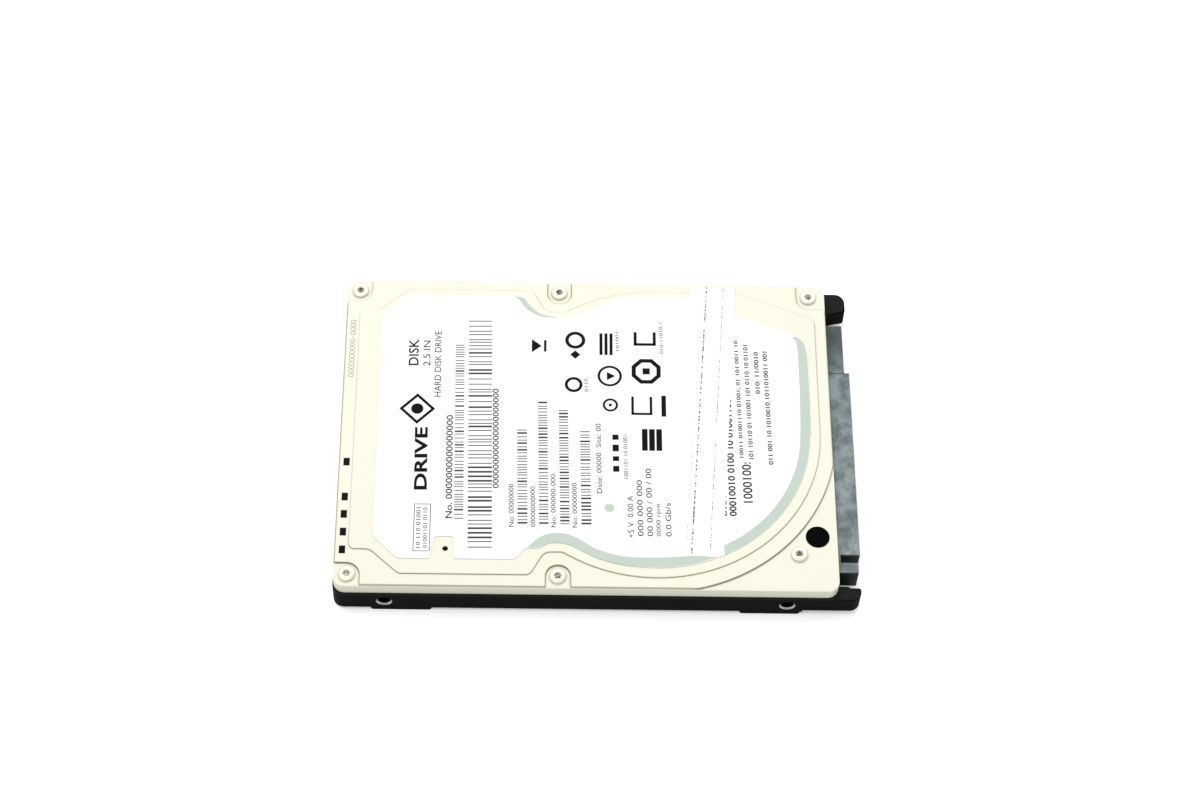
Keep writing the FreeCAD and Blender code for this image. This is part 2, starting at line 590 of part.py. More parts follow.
def base_casting():
    """Die-cast tray: side rails on four feet, ears beside the connectors and the sealed chamber."""
    body = new_body("base_casting")
    pad(body, plan(case_left, size.body_end, case_side, size.corner_round), "rail_low", "rim_top")
    inset_left = case_left + size.wall_inset
    pad(body, plan(inset_left, size.wall_end, case_side - 0.925, 1.8), "rim_top", "land_top")
    right = size.case_length / 2
    far_ear = [(43.0, size.far_ear - 1.6, 0.0), (47.5, size.far_ear, 0.8), (right, size.far_ear + 0.6, 0.5),
               (right, case_side, 2.0), (43.0, case_side, 0.0)]
    near_ear = [(43.0, -case_side, 0.0), (right, -case_side, 2.0), (right, size.near_ear, 0.5),
                (43.0, size.near_ear, 0.0)]
    pad(body, draw_outline(far_ear), "rail_low", "ear_top")
    pad(body, draw_outline(near_ear), "rail_low", "ear_top")
    inner_side = case_side - size.foot_width
    feet = [(hole_x[0] - size.foot_outward, hole_x[0] + size.foot_inward),
            (hole_x[1] - size.foot_inward, hole_x[1] + size.foot_outward)]
    for start, end in feet:
        for low, high in ((-case_side, -inner_side), (inner_side, case_side)):
            foot = draw_outline([(start, low, 0.6), (end, low, 0.6), (end, high, 0.6), (start, high, 0.6)])
            pad(body, foot, "0", "floor_low")
    cut(body, draw_box(feet[1][1] + 0.3, -36, 52, 36), "0", "end_low")
    # Space behind the connectors, and the board's bay under the floor
    cut(body, draw_box(size.wall_end, -29.9, 52, 27.4), "0", "rim_top")
    cut(body, board_outline(size.board_gap), "0", "floor_low")
    cut(body, plan(-46.5, -23.6, 25.0, 2.0), "0", "floor_low - 0.4")
    # Ribs across the plain end, and the bosses that the board's screws enter
    for y in (4.0, 14.0):
        pad(body, draw_box(-46.8, y, -23.0, y + 1.0), "rail_low", "floor_low")
    for x, y in BOARD_SCREWS:
        pad(body, draw_circle("2.1", x, y), "board_top", "floor_low + 0.1")
    # Motor boss and its bore
    pad(body, draw_circle("boss_radius", "motor_x", "motor_y"), "boss_low", "floor_low + 0.1")
    # Sealed chamber
    cut(body, chamber_bay(), "floor_top", "land_top")
    cut(body, chamber_corner(), "floor_top", "land_top")
    cut(body, chamber_round(), "floor_top", "land_top")
    pad(body, draw_circle("stator_seat_radius", "motor_x", "motor_y"), "floor_top - 0.1", "stator_seat")
    cut(body, draw_circle("sleeve_radius", "motor_x", "motor_y"), "boss_low", "stator_seat")
    pad(body, draw_circle("pivot_boss_radius", "pivot_x", "pivot_y"), "floor_top - 0.1", "arm_low - 0.1")
    # Screw bosses under the cover's pads
    bosses = [draw_circle("boss_round", x, y) for x, y in COVER_SCREWS]
    pad(body, bosses, "land_top - 0.1", "boss_top")
    # Window of the head connector, and every screw hole
    cut(body, draw_box(-40.1, -18.1, -35.9, -7.9), "0", "floor_top")
    shanks = [draw_circle("cover_shank + screw_play", x, y) for x, y in COVER_SCREWS]
    cut(body, shanks, "cover_screw_low - 0.3", "boss_top")
    shanks = [draw_circle("small_shank + screw_play", x, y) for x, y in BOARD_SCREWS]
    cut(body, shanks, "0", "floor_top - 0.3")
    mounting = [draw_circle("hole_radius", x, f"{side} * hole_gap / 2") for x in hole_x for side in (-1, 1)]
    cut(body, mounting, "0", "bottom_hole_depth")
    side_holes = body.newObject("PartDesign::Pocket", "side_holes")
    circles = [draw_circle("hole_radius", x, "side_hole_height") for x in hole_x]
    side_holes.Profile = sketched(body, circles, "case_width / 2", "XZ_Plane")
    side_holes.setExpression("Length", bound("side_hole_depth"))
    mirror = body.newObject("PartDesign::Mirrored", "side_holes_far")
    mirror.Originals = [side_holes]
    mirror.MirrorPlane = (origin_feature(body, "XZ_Plane"), [""])
    body.Tip = mirror
    doc.recompute()

    def mouth(edge):
        box = edge.BoundBox
        at_side = abs(abs(box.YMin) - case_side) < 1e-4 and abs(box.YMax - box.YMin) < 1e-4
        at_foot = level(edge, 0.0)
        is_hole = isinstance(edge.Curve, Part.Circle) and abs(edge.Curve.Radius - size.hole_radius) < 1e-4
        return is_hole and (at_side or at_foot)
    dress(body, "Chamfer", mouth, size.hole_mouth)

    def ear_rim(edge):
        return level(edge, size.ear_top) and edge.CenterOfMass.x > size.body_end + 0.1
    dress(body, "Fillet", ear_rim, size.ear_edge)
    return keep(body)


def top_cover():
    """Pressed sheet tray: a skirt, a rim, a raised middle and low pads at the screws."""
    body = new_body("top_cover")
    gauge = size.sheet_gauge
    pad(body, plan(size.cover_left, size.cover_right, size.cover_side, 2.2), "skirt_low", "rim_level")
    dress(body, "Fillet", lambda edge: level(edge, size.rim_level), size.rim_bend)
    for region in crown_regions():
        pad(body, region, "rim_level - sheet_gauge", "crown_level")
    dress(body, "Fillet", lambda edge: level(edge, size.crown_level), size.crown_bend)
    doc.recompute()
    older = [edge.CenterOfMass for edge in body.Tip.Shape.Edges]
    for region in pad_regions():
        cut(body, region, "pad_level", "crown_level")

    def pad_edge(edge):
        """An edge of the rim that a pad's cut made, but not one along the cover's sides."""
        middle = edge.CenterOfMass
        inside = abs(middle.y) < size.cover_side - 0.5 and -49.5 < middle.x < size.cover_right - 0.5
        fresh = min(middle.distanceToPoint(old) for old in older) > 1e-3
        return level(edge, size.rim_level) and inside and fresh
    dress(body, "Fillet", pad_edge, size.pad_bend)
    inner = plan(size.cover_left + gauge, size.cover_right - gauge, size.cover_side - gauge, 1.7)
    cut(body, inner, "skirt_low", "pad_level - sheet_gauge")
    # Underside of the rim, kept clear of the low pads
    left, right, side = size.cover_left + gauge, size.cover_right - gauge, size.cover_side - gauge
    under = [
        (left, -29.2, 0.1), (-44.4, -29.2, 3.2), (-44.4, -side, 0.3), (-10.5, -side, 0.3),
        (-10.5, -29.25, 2.9), (-4.6, -29.25, 2.9), (-4.6, -side, 0.3),
        (motor[0], motor[1], size.flat_radius - gauge, -78.0, -11.5), (right, -6.2, 0.3),
        (right, 28.35, 0.3), (39.45, 28.35, 3.0), (39.45, side, 0.3), (-4.6, side, 0.3),
        (-4.6, 28.9, 2.9), (-10.5, 28.9, 2.9), (-10.5, side, 0.3), (-44.5, side, 0.3),
        (-44.5, 28.9, 3.2), (left, 28.9, 0.1),
    ]
    cut(body, draw_outline(under), "pad_level - sheet_gauge", "rim_level - sheet_gauge")
    for region in crown_regions(-gauge):
        cut(body, region, "rim_level - sheet_gauge", "crown_level - sheet_gauge")
    holes = [draw_circle("cover_shank + 0.15", x, y) for x, y in COVER_SCREWS]
    cut(body, holes, "skirt_low", "crown_level")
    cut(body, draw_circle("breather_radius", "breather_x", "breather_y"), "skirt_low", "crown_level")
    cut(body, draw_circle("port_radius", "port_x", "port_y"), "skirt_low", "crown_level")
    return keep(body)


def cover_gasket():
    """Foam gasket on the casting's land, all round the chamber."""
    body = new_body("cover_gasket")
    outer, inner = size.gasket_outer, size.gasket_inner
    pad(body, chamber_bay(outer), "gasket_low", "gasket_top")
    pad(body, chamber_corner(outer), "gasket_low", "gasket_top")
    pad(body, chamber_round("gasket_outer"), "gasket_low", "gasket_top")
    cut(body, chamber_bay(inner), "gasket_low", "gasket_top")
    cut(body, chamber_corner(inner), "gasket_low", "gasket_top")
    cut(body, chamber_round("gasket_inner"), "gasket_low", "gasket_top")
    for region in pad_regions(0.6):
        cut(body, region, "gasket_low", "gasket_top")
    return keep(body)


def screw(label, head, head_height, shank, length):
    """A pan-head screw that hangs from its head's seat at height 0, with a six-sided recess."""
    body = new_body(label)
    revolve(body, [("0", f"-({length})"), (f"{shank} * 0.6", f"-({length})"), (shank, f"-({length}) + 0.4"),
                   (shank, "0"), (head, "0"), (head, f"{head_height} * 0.6"),
                   (f"{head} * 0.86", head_height), ("0", head_height)])
    doc.recompute()
    reach = size.drive_radius if head == "cover_head" else size.drive_radius * 0.7
    recess = [(reach * math.cos(math.radians(60 * n)), reach * math.sin(math.radians(60 * n)), 0.12)
              for n in range(6)]
    cut(body, draw_outline(recess), f"{head_height} * 0.35", head_height)
    return body


def cover_screws():
    length = "pad_level - cover_screw_low"
    piece = screw("cover_screw", "cover_head", "cover_head_height", "cover_shank", length)
    group("cover_screws", piece, [(x, y, size.pad_level, 15.0) for x, y in COVER_SCREWS])


def foils():
    """The printed label, the tamper strip that crosses it and the seal of the servo port."""
    label = new_body("product_label")
    bay = [
        (-42.75, -24.3, 1.5), (-38.0, -28.9, 1.5), (-32.0, -28.9, 0.2), (-31.0, -24.1, 0.8),
        (-27.3, -24.1, 0.8), (-27.3, -28.9, 0.2), (-15.6, -28.9, 1.5), (-13.9, -26.5, 0.6),
        (-11.2, -26.5, 0.6), (-9.2, -25.15, 1.6),
        (-2.0, -25.15, 0.0), (-2.0, 25.95, 0.0), (-9.6, 25.95, 2.4), (-12.6, 27.6, 1.5), (-14.4, 31.0, 1.0),
        (-38.0, 31.0, 1.0), (-42.8, 26.0, 1.5),
    ]
    far = [
        (11.0, 0.0, 0.0), (41.8, 0.0, 0.0), (41.7, 20.3, 1.2), (39.4, 22.5, 1.2), (27.8, 27.1, 4.0),
        (20.0, 31.0, 3.0), (4.5, 31.0, 5.0), (-5.0, 26.2, 2.0),
    ]
    for region in (draw_outline(bay), draw_outline(far), draw_circle("30.4", "motor_x", "motor_y")):
        pad(label, region, "crown_level", "crown_level + foil")
    keep(label)
    strip = new_body("tamper_seal")
    corners = [(14.5, -27.4, 0.4), (23.7, -27.2, 0.4), (27.6, 30.9, 0.0), (18.4, 30.9, 0.0)]
    pad(strip, draw_outline(corners), "seal_low", "case_height")
    corners = [(18.4, 30.4, 0.0), (27.57, 30.4, 0.0), (27.75, 33.6, 0.3), (18.6, 33.7, 0.3)]
    pad(strip, draw_outline(corners), "seal_low", "case_height")
    corners = [(19.9, 31.35, 0.0), (27.6, 31.35, 0.0), (27.7, 33.6, 0.3), (19.9, 33.6, 0.3)]
    pad(strip, draw_outline(corners), "crown_level", "case_height")
    keep(strip)
    port = ring("port_seal", None, "port_seal_radius", "pad_level", "pad_level + foil", "port_x", "port_y")
    keep(port)


def filters():
    breather = new_body("breather_filter")
    square = [(-32.4, -30.4, 1.0), (-26.2, -30.4, 1.0), (-26.2, -24.0, 1.0), (-32.4, -24.0, 1.0)]
    pad(breather, draw_outline(square), "floor_top", "filter_top")
    keep(breather)
    filter_body = new_body("recirculation_filter")
    middle, along, across, lean = (37.2, 26.6), 6.4, 1.6, -28.4
    corners = []
    for u, v in ((-1, -1), (1, -1), (1, 1), (-1, 1)):
        spot = Rotation(Vector(0, 0, 1), lean).multVec(Vector(u * along / 2, v * across / 2, 0))
        corners.append((middle[0] + spot.x, middle[1] + spot.y, 0.3))
    pad(filter_body, draw_outline(corners), "floor_top", "filter_top")
    keep(filter_body)


def spindle_motor():
    """Fixed shaft bearing and stator, and the hub with its magnet that turn round them."""
    at = ("motor_x", "motor_y")
    keep(ring("thrust_plate", None, "sleeve_radius", "boss_low", "sleeve_low", *at))
    keep(ring("bearing_sleeve", "shaft_radius + shaft_play", "sleeve_radius", "sleeve_low", "sleeve_top", *at))
    keep(ring("spindle_shaft", None, "shaft_radius", "shaft_low", "hub_top", *at))
    core = new_body("stator_core", *at)
    pad(core, [draw_circle("stator_ring"), draw_circle("stator_inner")], "stator_seat", "stator_top")
    tooth = pad(core, draw_box("stator_ring - 0.3", "-tooth_width / 2", "stator_outer", "tooth_width / 2"),
                "stator_seat", "stator_top")
    doc.recompute()
    repeat_round(core, tooth, "tooth_count")
    keep(core)
    coil = new_body("stator_coil")
    pad(coil, draw_box("coil_inner", "-coil_width / 2", "coil_outer", "coil_width / 2"),
        "stator_seat - coil_over", "stator_top + coil_over")
    half_tooth = "tooth_width / 2 + 0.02"
    cut(coil, draw_box("coil_inner - 0.1", f"-({half_tooth})", "coil_outer + 0.1", half_tooth),
        "stator_seat - 0.01", "stator_top + 0.01")
    count = int(size.tooth_count)
    group("stator_coils", coil, [(*motor, 0, n * 360 / count) for n in range(count)])
    keep(ring("rotor_magnet", "rotor_inner", "rotor_outer", "rotor_low", "rotor_top", *at))
    hub = new_body("spindle_hub", *at)
    revolve(hub, [("shaft_radius", "sleeve_top + 0.2"), ("shaft_radius + 1.2", "sleeve_top + 0.2"),
                  ("shaft_radius + 1.4", "rotor_top"), ("rotor_outer", "rotor_top"), ("rotor_outer", "hub_low"),
                  ("hub_flange", "hub_low"), ("hub_flange", "lower_disc"),
                  ("hub_radius", "lower_disc"), ("hub_radius", "hub_top - 0.2"),
                  ("hub_radius - 0.2", "hub_top"), ("shaft_radius", "hub_top")])
    screws = int(size.clamp_screw_count)
    places = [polar(size.clamp_pitch, n * 360 / screws) for n in range(screws)]
    tapped = [draw_circle("small_shank + screw_play", spot.x, spot.y) for spot in places]
    cut(hub, tapped, "rotor_top + 0.1", "hub_top")
    keep(hub)
    keep(ring("lower_platter", "disc_bore", "disc_radius", "lower_disc", "lower_disc + disc_gauge", *at))
    keep(ring("platter_spacer", "spacer_inner", "spacer_outer", "lower_disc + disc_gauge", "upper_disc", *at))
    keep(ring("upper_platter", "disc_bore", "disc_radius", "upper_disc", "upper_disc + disc_gauge", *at))
    clamp = new_body("disc_clamp", *at)
    low = "upper_disc + disc_gauge"
    high = f"{low} + clamp_gauge"
    revolve(clamp, [("shaft_radius + 0.8", f"{low} + 0.05"), ("clamp_radius - 1.2", f"{low} + 0.05"),
                    ("clamp_radius - 1.0", low), ("clamp_radius - 0.2", low),
                    ("clamp_radius", f"{low} + 0.2"), ("clamp_radius - 0.2", high),
                    ("shaft_radius + 0.8", high)])
    cut(clamp, [draw_circle("small_shank + 0.1", spot.x, spot.y) for spot in places], low, high)
    keep(clamp)
    piece = screw("clamp_screw", "small_head", "small_head_height", "small_shank", "1.25")
    top = size.upper_disc + size.disc_gauge + size.clamp_gauge
    group("clamp_screws", piece, [(motor[0] + spot.x, motor[1] + spot.y, top, 10.0) for spot in places])


def arm_outline():
    """One arm, from the block to the tip, along the body's X axis."""
    root, tip = size.arm_root / 2, size.arm_tip / 2
    reach = size.arm_reach
    return draw_outline([(0.0, -root, 0.0), (reach, -tip, 1.2), (reach, tip, 1.2), (0.0, root, 0.0)])


def turned(body, angle, x, y):
    """Place a body on an axis, turned about it."""
    body.Placement = Placement(Vector(x, y, 0), Rotation(Vector(0, 0, 1), angle))
    return body


def actuator():
    """The block with three arms on its pivot sleeve, the voice coil in its moulding, and the heads."""
    park = size.park_angle
    arms = new_body("actuator_arm")
    pad(arms, draw_circle("arm_block_radius"), "arm_low", "arm_top")
    for low, high in (("arm_low", "arm_low + arm_gauge"), ("middle_arm_low", "middle_arm_top"),
                      ("upper_arm_low", "arm_top")):
        pad(arms, arm_outline(), low, high)
    lightening = draw_outline([(9.0, -1.9, 0.8), (17.5, -1.2, 0.8), (17.5, 1.2, 0.8), (9.0, 1.9, 0.8)])
    cut(arms, lightening, "arm_low", "arm_top")
    # Flat lug that carries the preamplifier and the flex cable's end
    pad(arms, draw_box("-2.2", "-arm_block_radius - 0.9", "2.2", "-4"), "coil_low - 0.4", "coil_top + 1")
    cut(arms, draw_circle("pivot_sleeve_radius"), "arm_low", "arm_top")
    keep(turned(arms, park, *pivot))
    sleeve = ring("pivot_sleeve", "pivot_radius + pivot_play", "pivot_sleeve_radius", "arm_low", "arm_top",
                  "pivot_x", "pivot_y")
    keep(sleeve)
    shaft = new_body("pivot_shaft", "pivot_x", "pivot_y")
    revolve(shaft, [("0", "arm_low - 0.1"), ("pivot_radius", "arm_low - 0.1"),
                    ("pivot_radius", "arm_top + 0.1"), ("pivot_radius - 0.2", "arm_top + 0.3"),
                    ("0", "arm_top + 0.3")])
    cut(shaft, draw_box("-1.2", "-0.2", "1.2", "0.2"), "arm_top - 0.1", "arm_top + 0.3")
    keep(shaft)

    half = size.coil_half
    coil = new_body("voice_coil")
    winding = [(0, 0, size.coil_far, -half, half), (0, 0, size.coil_near, half, -half)]
    pad(coil, draw_outline(winding), "coil_low", "coil_top")
    cut(coil, draw_outline(winding, -size.coil_wire), "coil_low", "coil_top")
    keep(turned(coil, size.coil_angle, *pivot))
    mould = new_body("coil_overmould")
    spread = size.mould_half
    near, far = size.arm_block_radius + 0.01, size.mould_far
    pad(mould, draw_sector(near, far, -spread, spread), "coil_low", "coil_top")
    pad(mould, draw_sector(far - 0.2, size.nub_far, spread - 2.4, spread), "coil_low", "coil_top")
    cut(mould, draw_outline(winding, 0.01), "coil_low", "coil_top")
    keep(turned(mould, size.coil_angle, *pivot))

    # Suspensions and sliders face the four disc surfaces
    gap, thick, beam = size.fly_gap, size.slider_high, size.beam_gauge
    lower, upper, disc = size.lower_disc, size.upper_disc, size.disc_gauge
    surfaces = [
        (lower - gap, -1, size.arm_low + size.arm_gauge), (lower + disc + gap, 1, size.middle_arm_low),
        (upper - gap, -1, size.middle_arm_top), (upper + disc + gap, 1, size.upper_arm_low),
    ]
    root, tip, tab = size.beam_root / 2, size.beam_tip / 2, size.tab_width / 2
    start, foot = size.arm_reach - 4.5, size.arm_reach - 0.2
    beams, sliders = [], []
    for number, (surface, side, arm) in enumerate(surfaces, start=1):
        back = surface + side * thick
        top = back + side * beam
        single = new_body(f"suspension_{number}")
        outline = [(start, -root, 0.6), (foot, -root, 0.6), (size.head_reach - 1.0, -tip, 0.3),
                   (size.head_reach + 0.9, -tip, 0.3), (size.head_reach + 0.9, tip, 0.3),
                   (size.head_reach - 1.0, tip, 0.3), (foot, root, 0.6), (start, root, 0.6)]
        pad(single, draw_outline(outline), min(back, top), max(back, top))
        lift = draw_outline([(size.head_reach + 0.5, -tab, 0.0), (size.tab_reach, -tab, 0.1),
                             (size.tab_reach, tab, 0.1), (size.head_reach + 0.5, tab, 0.0)])
        pad(single, lift, min(back, top), max(back, top))
        plate = draw_outline([(start, -root, 0.6), (foot, -root, 0.6), (foot, root, 0.6), (start, root, 0.6)])
        pad(single, plate, min(back, arm), max(back, arm))
        beams.append(turned(single, park, *pivot))
        slider = new_body(f"slider_{number}")
        reach = size.head_reach - size.slider_long / 2
        pad(slider, draw_box(reach, "-slider_wide / 2", f"{reach} + slider_long", "slider_wide / 2"),
            min(surface, back), max(surface, back))
        sliders.append(turned(slider, park, *pivot))
    for label, pieces in (("head_suspensions", beams), ("head_sliders", sliders)):
        compound = doc.addObject("Part::Compound", label)
        compound.Label = label
        compound.Links = pieces
        keep(compound)
    chip = new_body("preamp_chip")
    lug = draw_box("-1.1", "-arm_block_radius - 1.45", "1.1", "-arm_block_radius - 0.9")
    pad(chip, lug, "coil_low + 0.3", "coil_top")
    keep(turned(chip, park, *pivot))


def voice_coil_motor():
    """Two steel yokes with their magnets, held apart by posts."""
    first, last = size.yoke_start, size.yoke_end

    def yoke(label, low, high, hole):
        plate = new_body(label, "pivot_x", "pivot_y")
        pad(plate, draw_sector(size.yoke_near, size.yoke_far, first, last), low, high)
        for spot_start, spot_end in ((size.post_start - 4.6, first + 1), (last - 1, size.post_end + 4.6)):
            pad(plate, draw_sector(size.post_reach - 1.7, size.yoke_far, spot_start, spot_end), low, high)
        spots = [polar(*post) for post in POSTS]
        if hole:
            cut(plate, [draw_circle("small_shank + screw_play", spot.x, spot.y) for spot in spots], low, high)
        return keep(plate)

    yoke("lower_yoke", "floor_top", "lower_yoke_top", False)
    yoke("upper_yoke", "upper_yoke_low", "upper_yoke_top", True)
    inset = size.magnet_margin
    for label, low, high in (("lower_magnet", "lower_yoke_top", "lower_magnet_top"),
                             ("upper_magnet", "upper_magnet_low", "upper_yoke_low")):
        magnet = new_body(label, "pivot_x", "pivot_y")
        pad(magnet, draw_sector(size.magnet_near, size.magnet_far, first + inset, last - inset), low, high)
        keep(magnet)
    post = ring("yoke_post", None, "post_radius", "lower_yoke_top", "upper_yoke_low")
    cut(post, draw_circle("small_shank + screw_play"), "coil_top - 1", "upper_yoke_low")
    spots = [polar(*place, *pivot) for place in POSTS]
    group("yoke_posts", post, [(spot.x, spot.y, 0, 0) for spot in spots])
    piece = screw("yoke_screw", "small_head", "small_head_height", "small_shank", "1.9")
    group("yoke_screws", piece, [(spot.x, spot.y, size.upper_yoke_top, 20.0) for spot in spots])
    stop = ring("crash_stop", None, "stop_radius", "floor_top", "upper_yoke_low")
    stops = [polar(size.stop_reach, turn, *pivot) for turn in (size.stop_start, size.stop_end)]
    group("crash_stops", stop, [(spot.x, spot.y, 0, 0) for spot in stops])


def ramp():
    """Plastic ramp where the lift tabs park, with one groove for each of the four tabs."""
    body = new_body("load_ramp")
    items = [(*pivot, size.ramp_far, size.ramp_start, size.ramp_end),
             (*pivot, size.ramp_near, size.ramp_end, size.ramp_start)]
    pad(body, draw_outline(items), "floor_top", "ramp_top")
    foot = [(-24.4, -30.0, 1.0), (-15.4, -30.0, 1.0), (-15.4, -23.4, 0.4), (-19.6, -23.4, 0.4),
            (-24.4, -25.0, 1.0)]
    pad(body, draw_outline(foot), "floor_top", "ramp_foot_top")
    fixing = draw_circle("small_shank + screw_play", "ramp_screw_x", "ramp_screw_y")
    cut(body, fixing, "floor_top", "ramp_foot_top")
    offset = size.fly_gap + size.slider_high + size.beam_gauge / 2
    middles = []
    for disc_low in (size.lower_disc, size.upper_disc):
        middles += [disc_low - offset, disc_low + size.disc_gauge + offset]
    half = size.ramp_groove / 2
    groove = [(*pivot, size.tab_reach + 0.3, size.ramp_start + 2.0, size.ramp_end + 1.0),
              (*pivot, size.ramp_near - 0.5, size.ramp_end + 1.0, size.ramp_start + 2.0)]
    for middle in middles:
        cut(body, draw_outline(groove), middle - half, middle + half)
    keep(body)
    piece = screw("ramp_fixing", "small_head", "small_head_height", "small_shank", "ramp_foot_top - floor_top")
    group("ramp_screw", piece, [(size.ramp_screw_x, size.ramp_screw_y, size.ramp_foot_top, 0.0)])


def latch():
    """Inertia latch that catches the moulding's nub when the parked drive is knocked."""
    pin = new_body("latch_pin", "latch_x", "latch_y")
    revolve(pin, [("0", "floor_top"), ("1", "floor_top"), ("1", "latch_seat"),
                  ("latch_pin_radius", "latch_seat"), ("latch_pin_radius", "latch_top + 0.5"),
                  ("0", "latch_top + 0.5")])
    keep(pin)
    body = new_body("actuator_latch", "latch_x", "latch_y")
    pad(body, draw_circle("latch_hub"), "latch_low", "latch_top")
    axis = (pivot[0] - size.latch_x, pivot[1] - size.latch_y)
    middle = 157.0
    near, far = size.latch_near, size.latch_far
    for reach, angle in ((far, size.latch_tip), (far - 0.4, size.latch_heel)):
        low, high = min(angle, middle), max(angle, middle)
        strip = [(*axis, reach, low, high), (*axis, near, high, low)]
        pad(body, draw_outline(strip), "latch_low", "latch_top")
    cut(body, draw_circle("latch_pin_radius + latch_play"), "latch_low", "latch_top")
    keep(body)


def flex():
    """Bracket of the flex cable in its bay, and the cable's loop to the arm block."""
    body = new_body("flex_bracket")
    plate = [(-43.6, -21.0, 1.0), (-34.2, -21.0, 1.0), (-34.2, -5.6, 1.0), (-43.6, -5.6, 1.0)]
    pad(body, draw_outline(plate), "floor_top", "bracket_plate")
    pad(body, draw_box("-36", "-17", "-35", "-9"), "bracket_plate - 0.2", "bracket_top")
    spots = [(-41.6, -8.0), (-41.6, -18.6)]
    cut(body, [draw_circle("small_shank + screw_play", x, y) for x, y in spots], "floor_top", "bracket_plate")
    keep(body)
    length = "bracket_plate - floor_top"
    piece = screw("bracket_screw", "small_head", "small_head_height", "small_shank", length)
    group("bracket_screws", piece, [(x, y, size.bracket_plate, 0.0) for x, y in spots])
    keep(block("head_connector", "-40", "-18", "-36", "-8", "board_top", "floor_top"))

    # The cable leaves the wall along +Y, bends right, then left, and lies along the block's lug
    half, turn = size.flex_gauge / 2, math.radians(size.flex_turn)
    start = Vector(-35 + half, -9, 0)
    finish_angle = size.park_angle + 180
    lug = polar(size.arm_block_radius + 0.9 + half, size.park_angle - 90, *pivot)
    finish = lug + polar(2.2, size.park_angle)
    heading = math.radians(finish_angle)
    across, along = finish.x - start.x, finish.y - start.y
    a, b = 1 - math.cos(turn), math.sin(heading) - math.cos(turn)
    c, d = math.sin(turn), math.sin(turn) - math.cos(heading)
    first = (across * d - b * along) / (a * d - b * c)
    second = (a * along - across * c) / (a * d - b * c)
    hub_1 = start + Vector(first, 0, 0)
    hub_2 = hub_1 - polar(first + second, -size.flex_turn)
    bends = (180.0, 180.0 - size.flex_turn), (-size.flex_turn, finish_angle - 90)
    ahead = polar(0.9, finish_angle)
    side = polar(half, finish_angle - 90)
    right_end, left_end = finish + side + ahead, finish - side + ahead
    outline = [
        (start.x + half, start.y - 3, 0.0), (hub_1.x, hub_1.y, first - half, *bends[0]),
        (hub_2.x, hub_2.y, second + half, *bends[1]), (right_end.x, right_end.y, 0.0),
        (left_end.x, left_end.y, 0.0), (hub_2.x, hub_2.y, second - half, bends[1][1], bends[1][0]),
        (hub_1.x, hub_1.y, first + half, bends[0][1], bends[0][0]), (start.x - half, start.y - 3, 0.0),
    ]
    cable = new_body("flex_cable")
    pad(cable, draw_outline(outline), "flex_low", "flex_top")
    keep(cable)


def circuit_board():
    board = new_body("circuit_board")
    pad(board, board_outline(), "board_low", "board_top")
    cut(board, draw_circle("board_cut_radius", "motor_x", "motor_y"), "board_low", "board_top")
    cut(board, [draw_circle("small_shank + 0.15", x, y) for x, y in BOARD_SCREWS], "board_low", "board_top")
    keep(board)
    length = "board_top - board_low + 1.2"
    piece = screw("board_screw", "small_head", "small_head_height", "small_shank", length)
    compound = doc.addObject("Part::Compound", "board_screws")
    compound.Label = "board_screws"
    links = []
    for x, y in BOARD_SCREWS:
        link = doc.addObject("App::Link", f"board_screws_{len(links) + 1}")
        link.LinkedObject = piece
        link.Placement = Placement(Vector(x, y, size.board_low), Rotation(Vector(1, 0, 0), 180))
        links.append(link)
    compound.Links = links
    keep(compound)
    sheet_body = new_body("board_insulator")
    outline = [(-14.5, -24.0, 1.0), (29.0, -24.0, 1.0), (38.5, -18.0, 1.0), (38.5, 19.0, 1.0),
               (29.0, 24.0, 1.0), (-14.5, 24.0, 1.0)]
    pad(sheet_body, draw_outline(outline), "insulator_low", "insulator_top")
    cut(sheet_body, draw_circle("board_cut_radius", "motor_x", "motor_y"), "insulator_low", "insulator_top")
    cut(sheet_body, draw_box(-4.2, -3.4, 0, 3.4), "insulator_low", "insulator_top")
    keep(sheet_body)
    chips = [("controller_chip", 30.5, 10.0, 11.0, 11.0), ("memory_chip", 30.5, -9.5, 9.0, 8.0),
             ("motor_driver_chip", -7.5, -17.5, 8.0, 8.0), ("flash_chip", 9.0, -19.5, 5.0, 6.0),
             ("clock_crystal", 20.5, 18.5, 3.2, 2.5)]
    for label, x, y, wide, deep in chips:
        spread, depth = wide / 2, deep / 2
        keep(block(label, x - spread, y - depth, x + spread, y + depth, "board_top",
                   "board_top + chip_high"))
    part = block("passive", -0.5, -0.28, 0.5, 0.28, 0, 0.4)
    spots = [(-14.0 + 2.2 * column, 10.0 + 2.0 * line) for column in range(5) for line in range(5)]
    spots += [(18.0 + 2.2 * column, -21.5 + 2.0 * line) for column in range(4) for line in range(3)]
    group("board_passives", part, [(x, y, size.board_top, 0.0) for x, y in spots])
    sensor = block("shock_sensor", -1.4, -0.9, 1.4, 0.9, 0, 0.85)
    group("shock_sensors", sensor, [(-17.0, 20.0, size.board_top, 45.0), (42.0, -15.0, size.board_top, -45.0)])
    spring = block("motor_spring", -0.5, -0.3, 0.5, 0.3, 0, "floor_low - board_top")
    group("motor_contacts", spring, [(-3.2, -2.4 + 1.6 * n, size.board_top, 0.0) for n in range(4)])


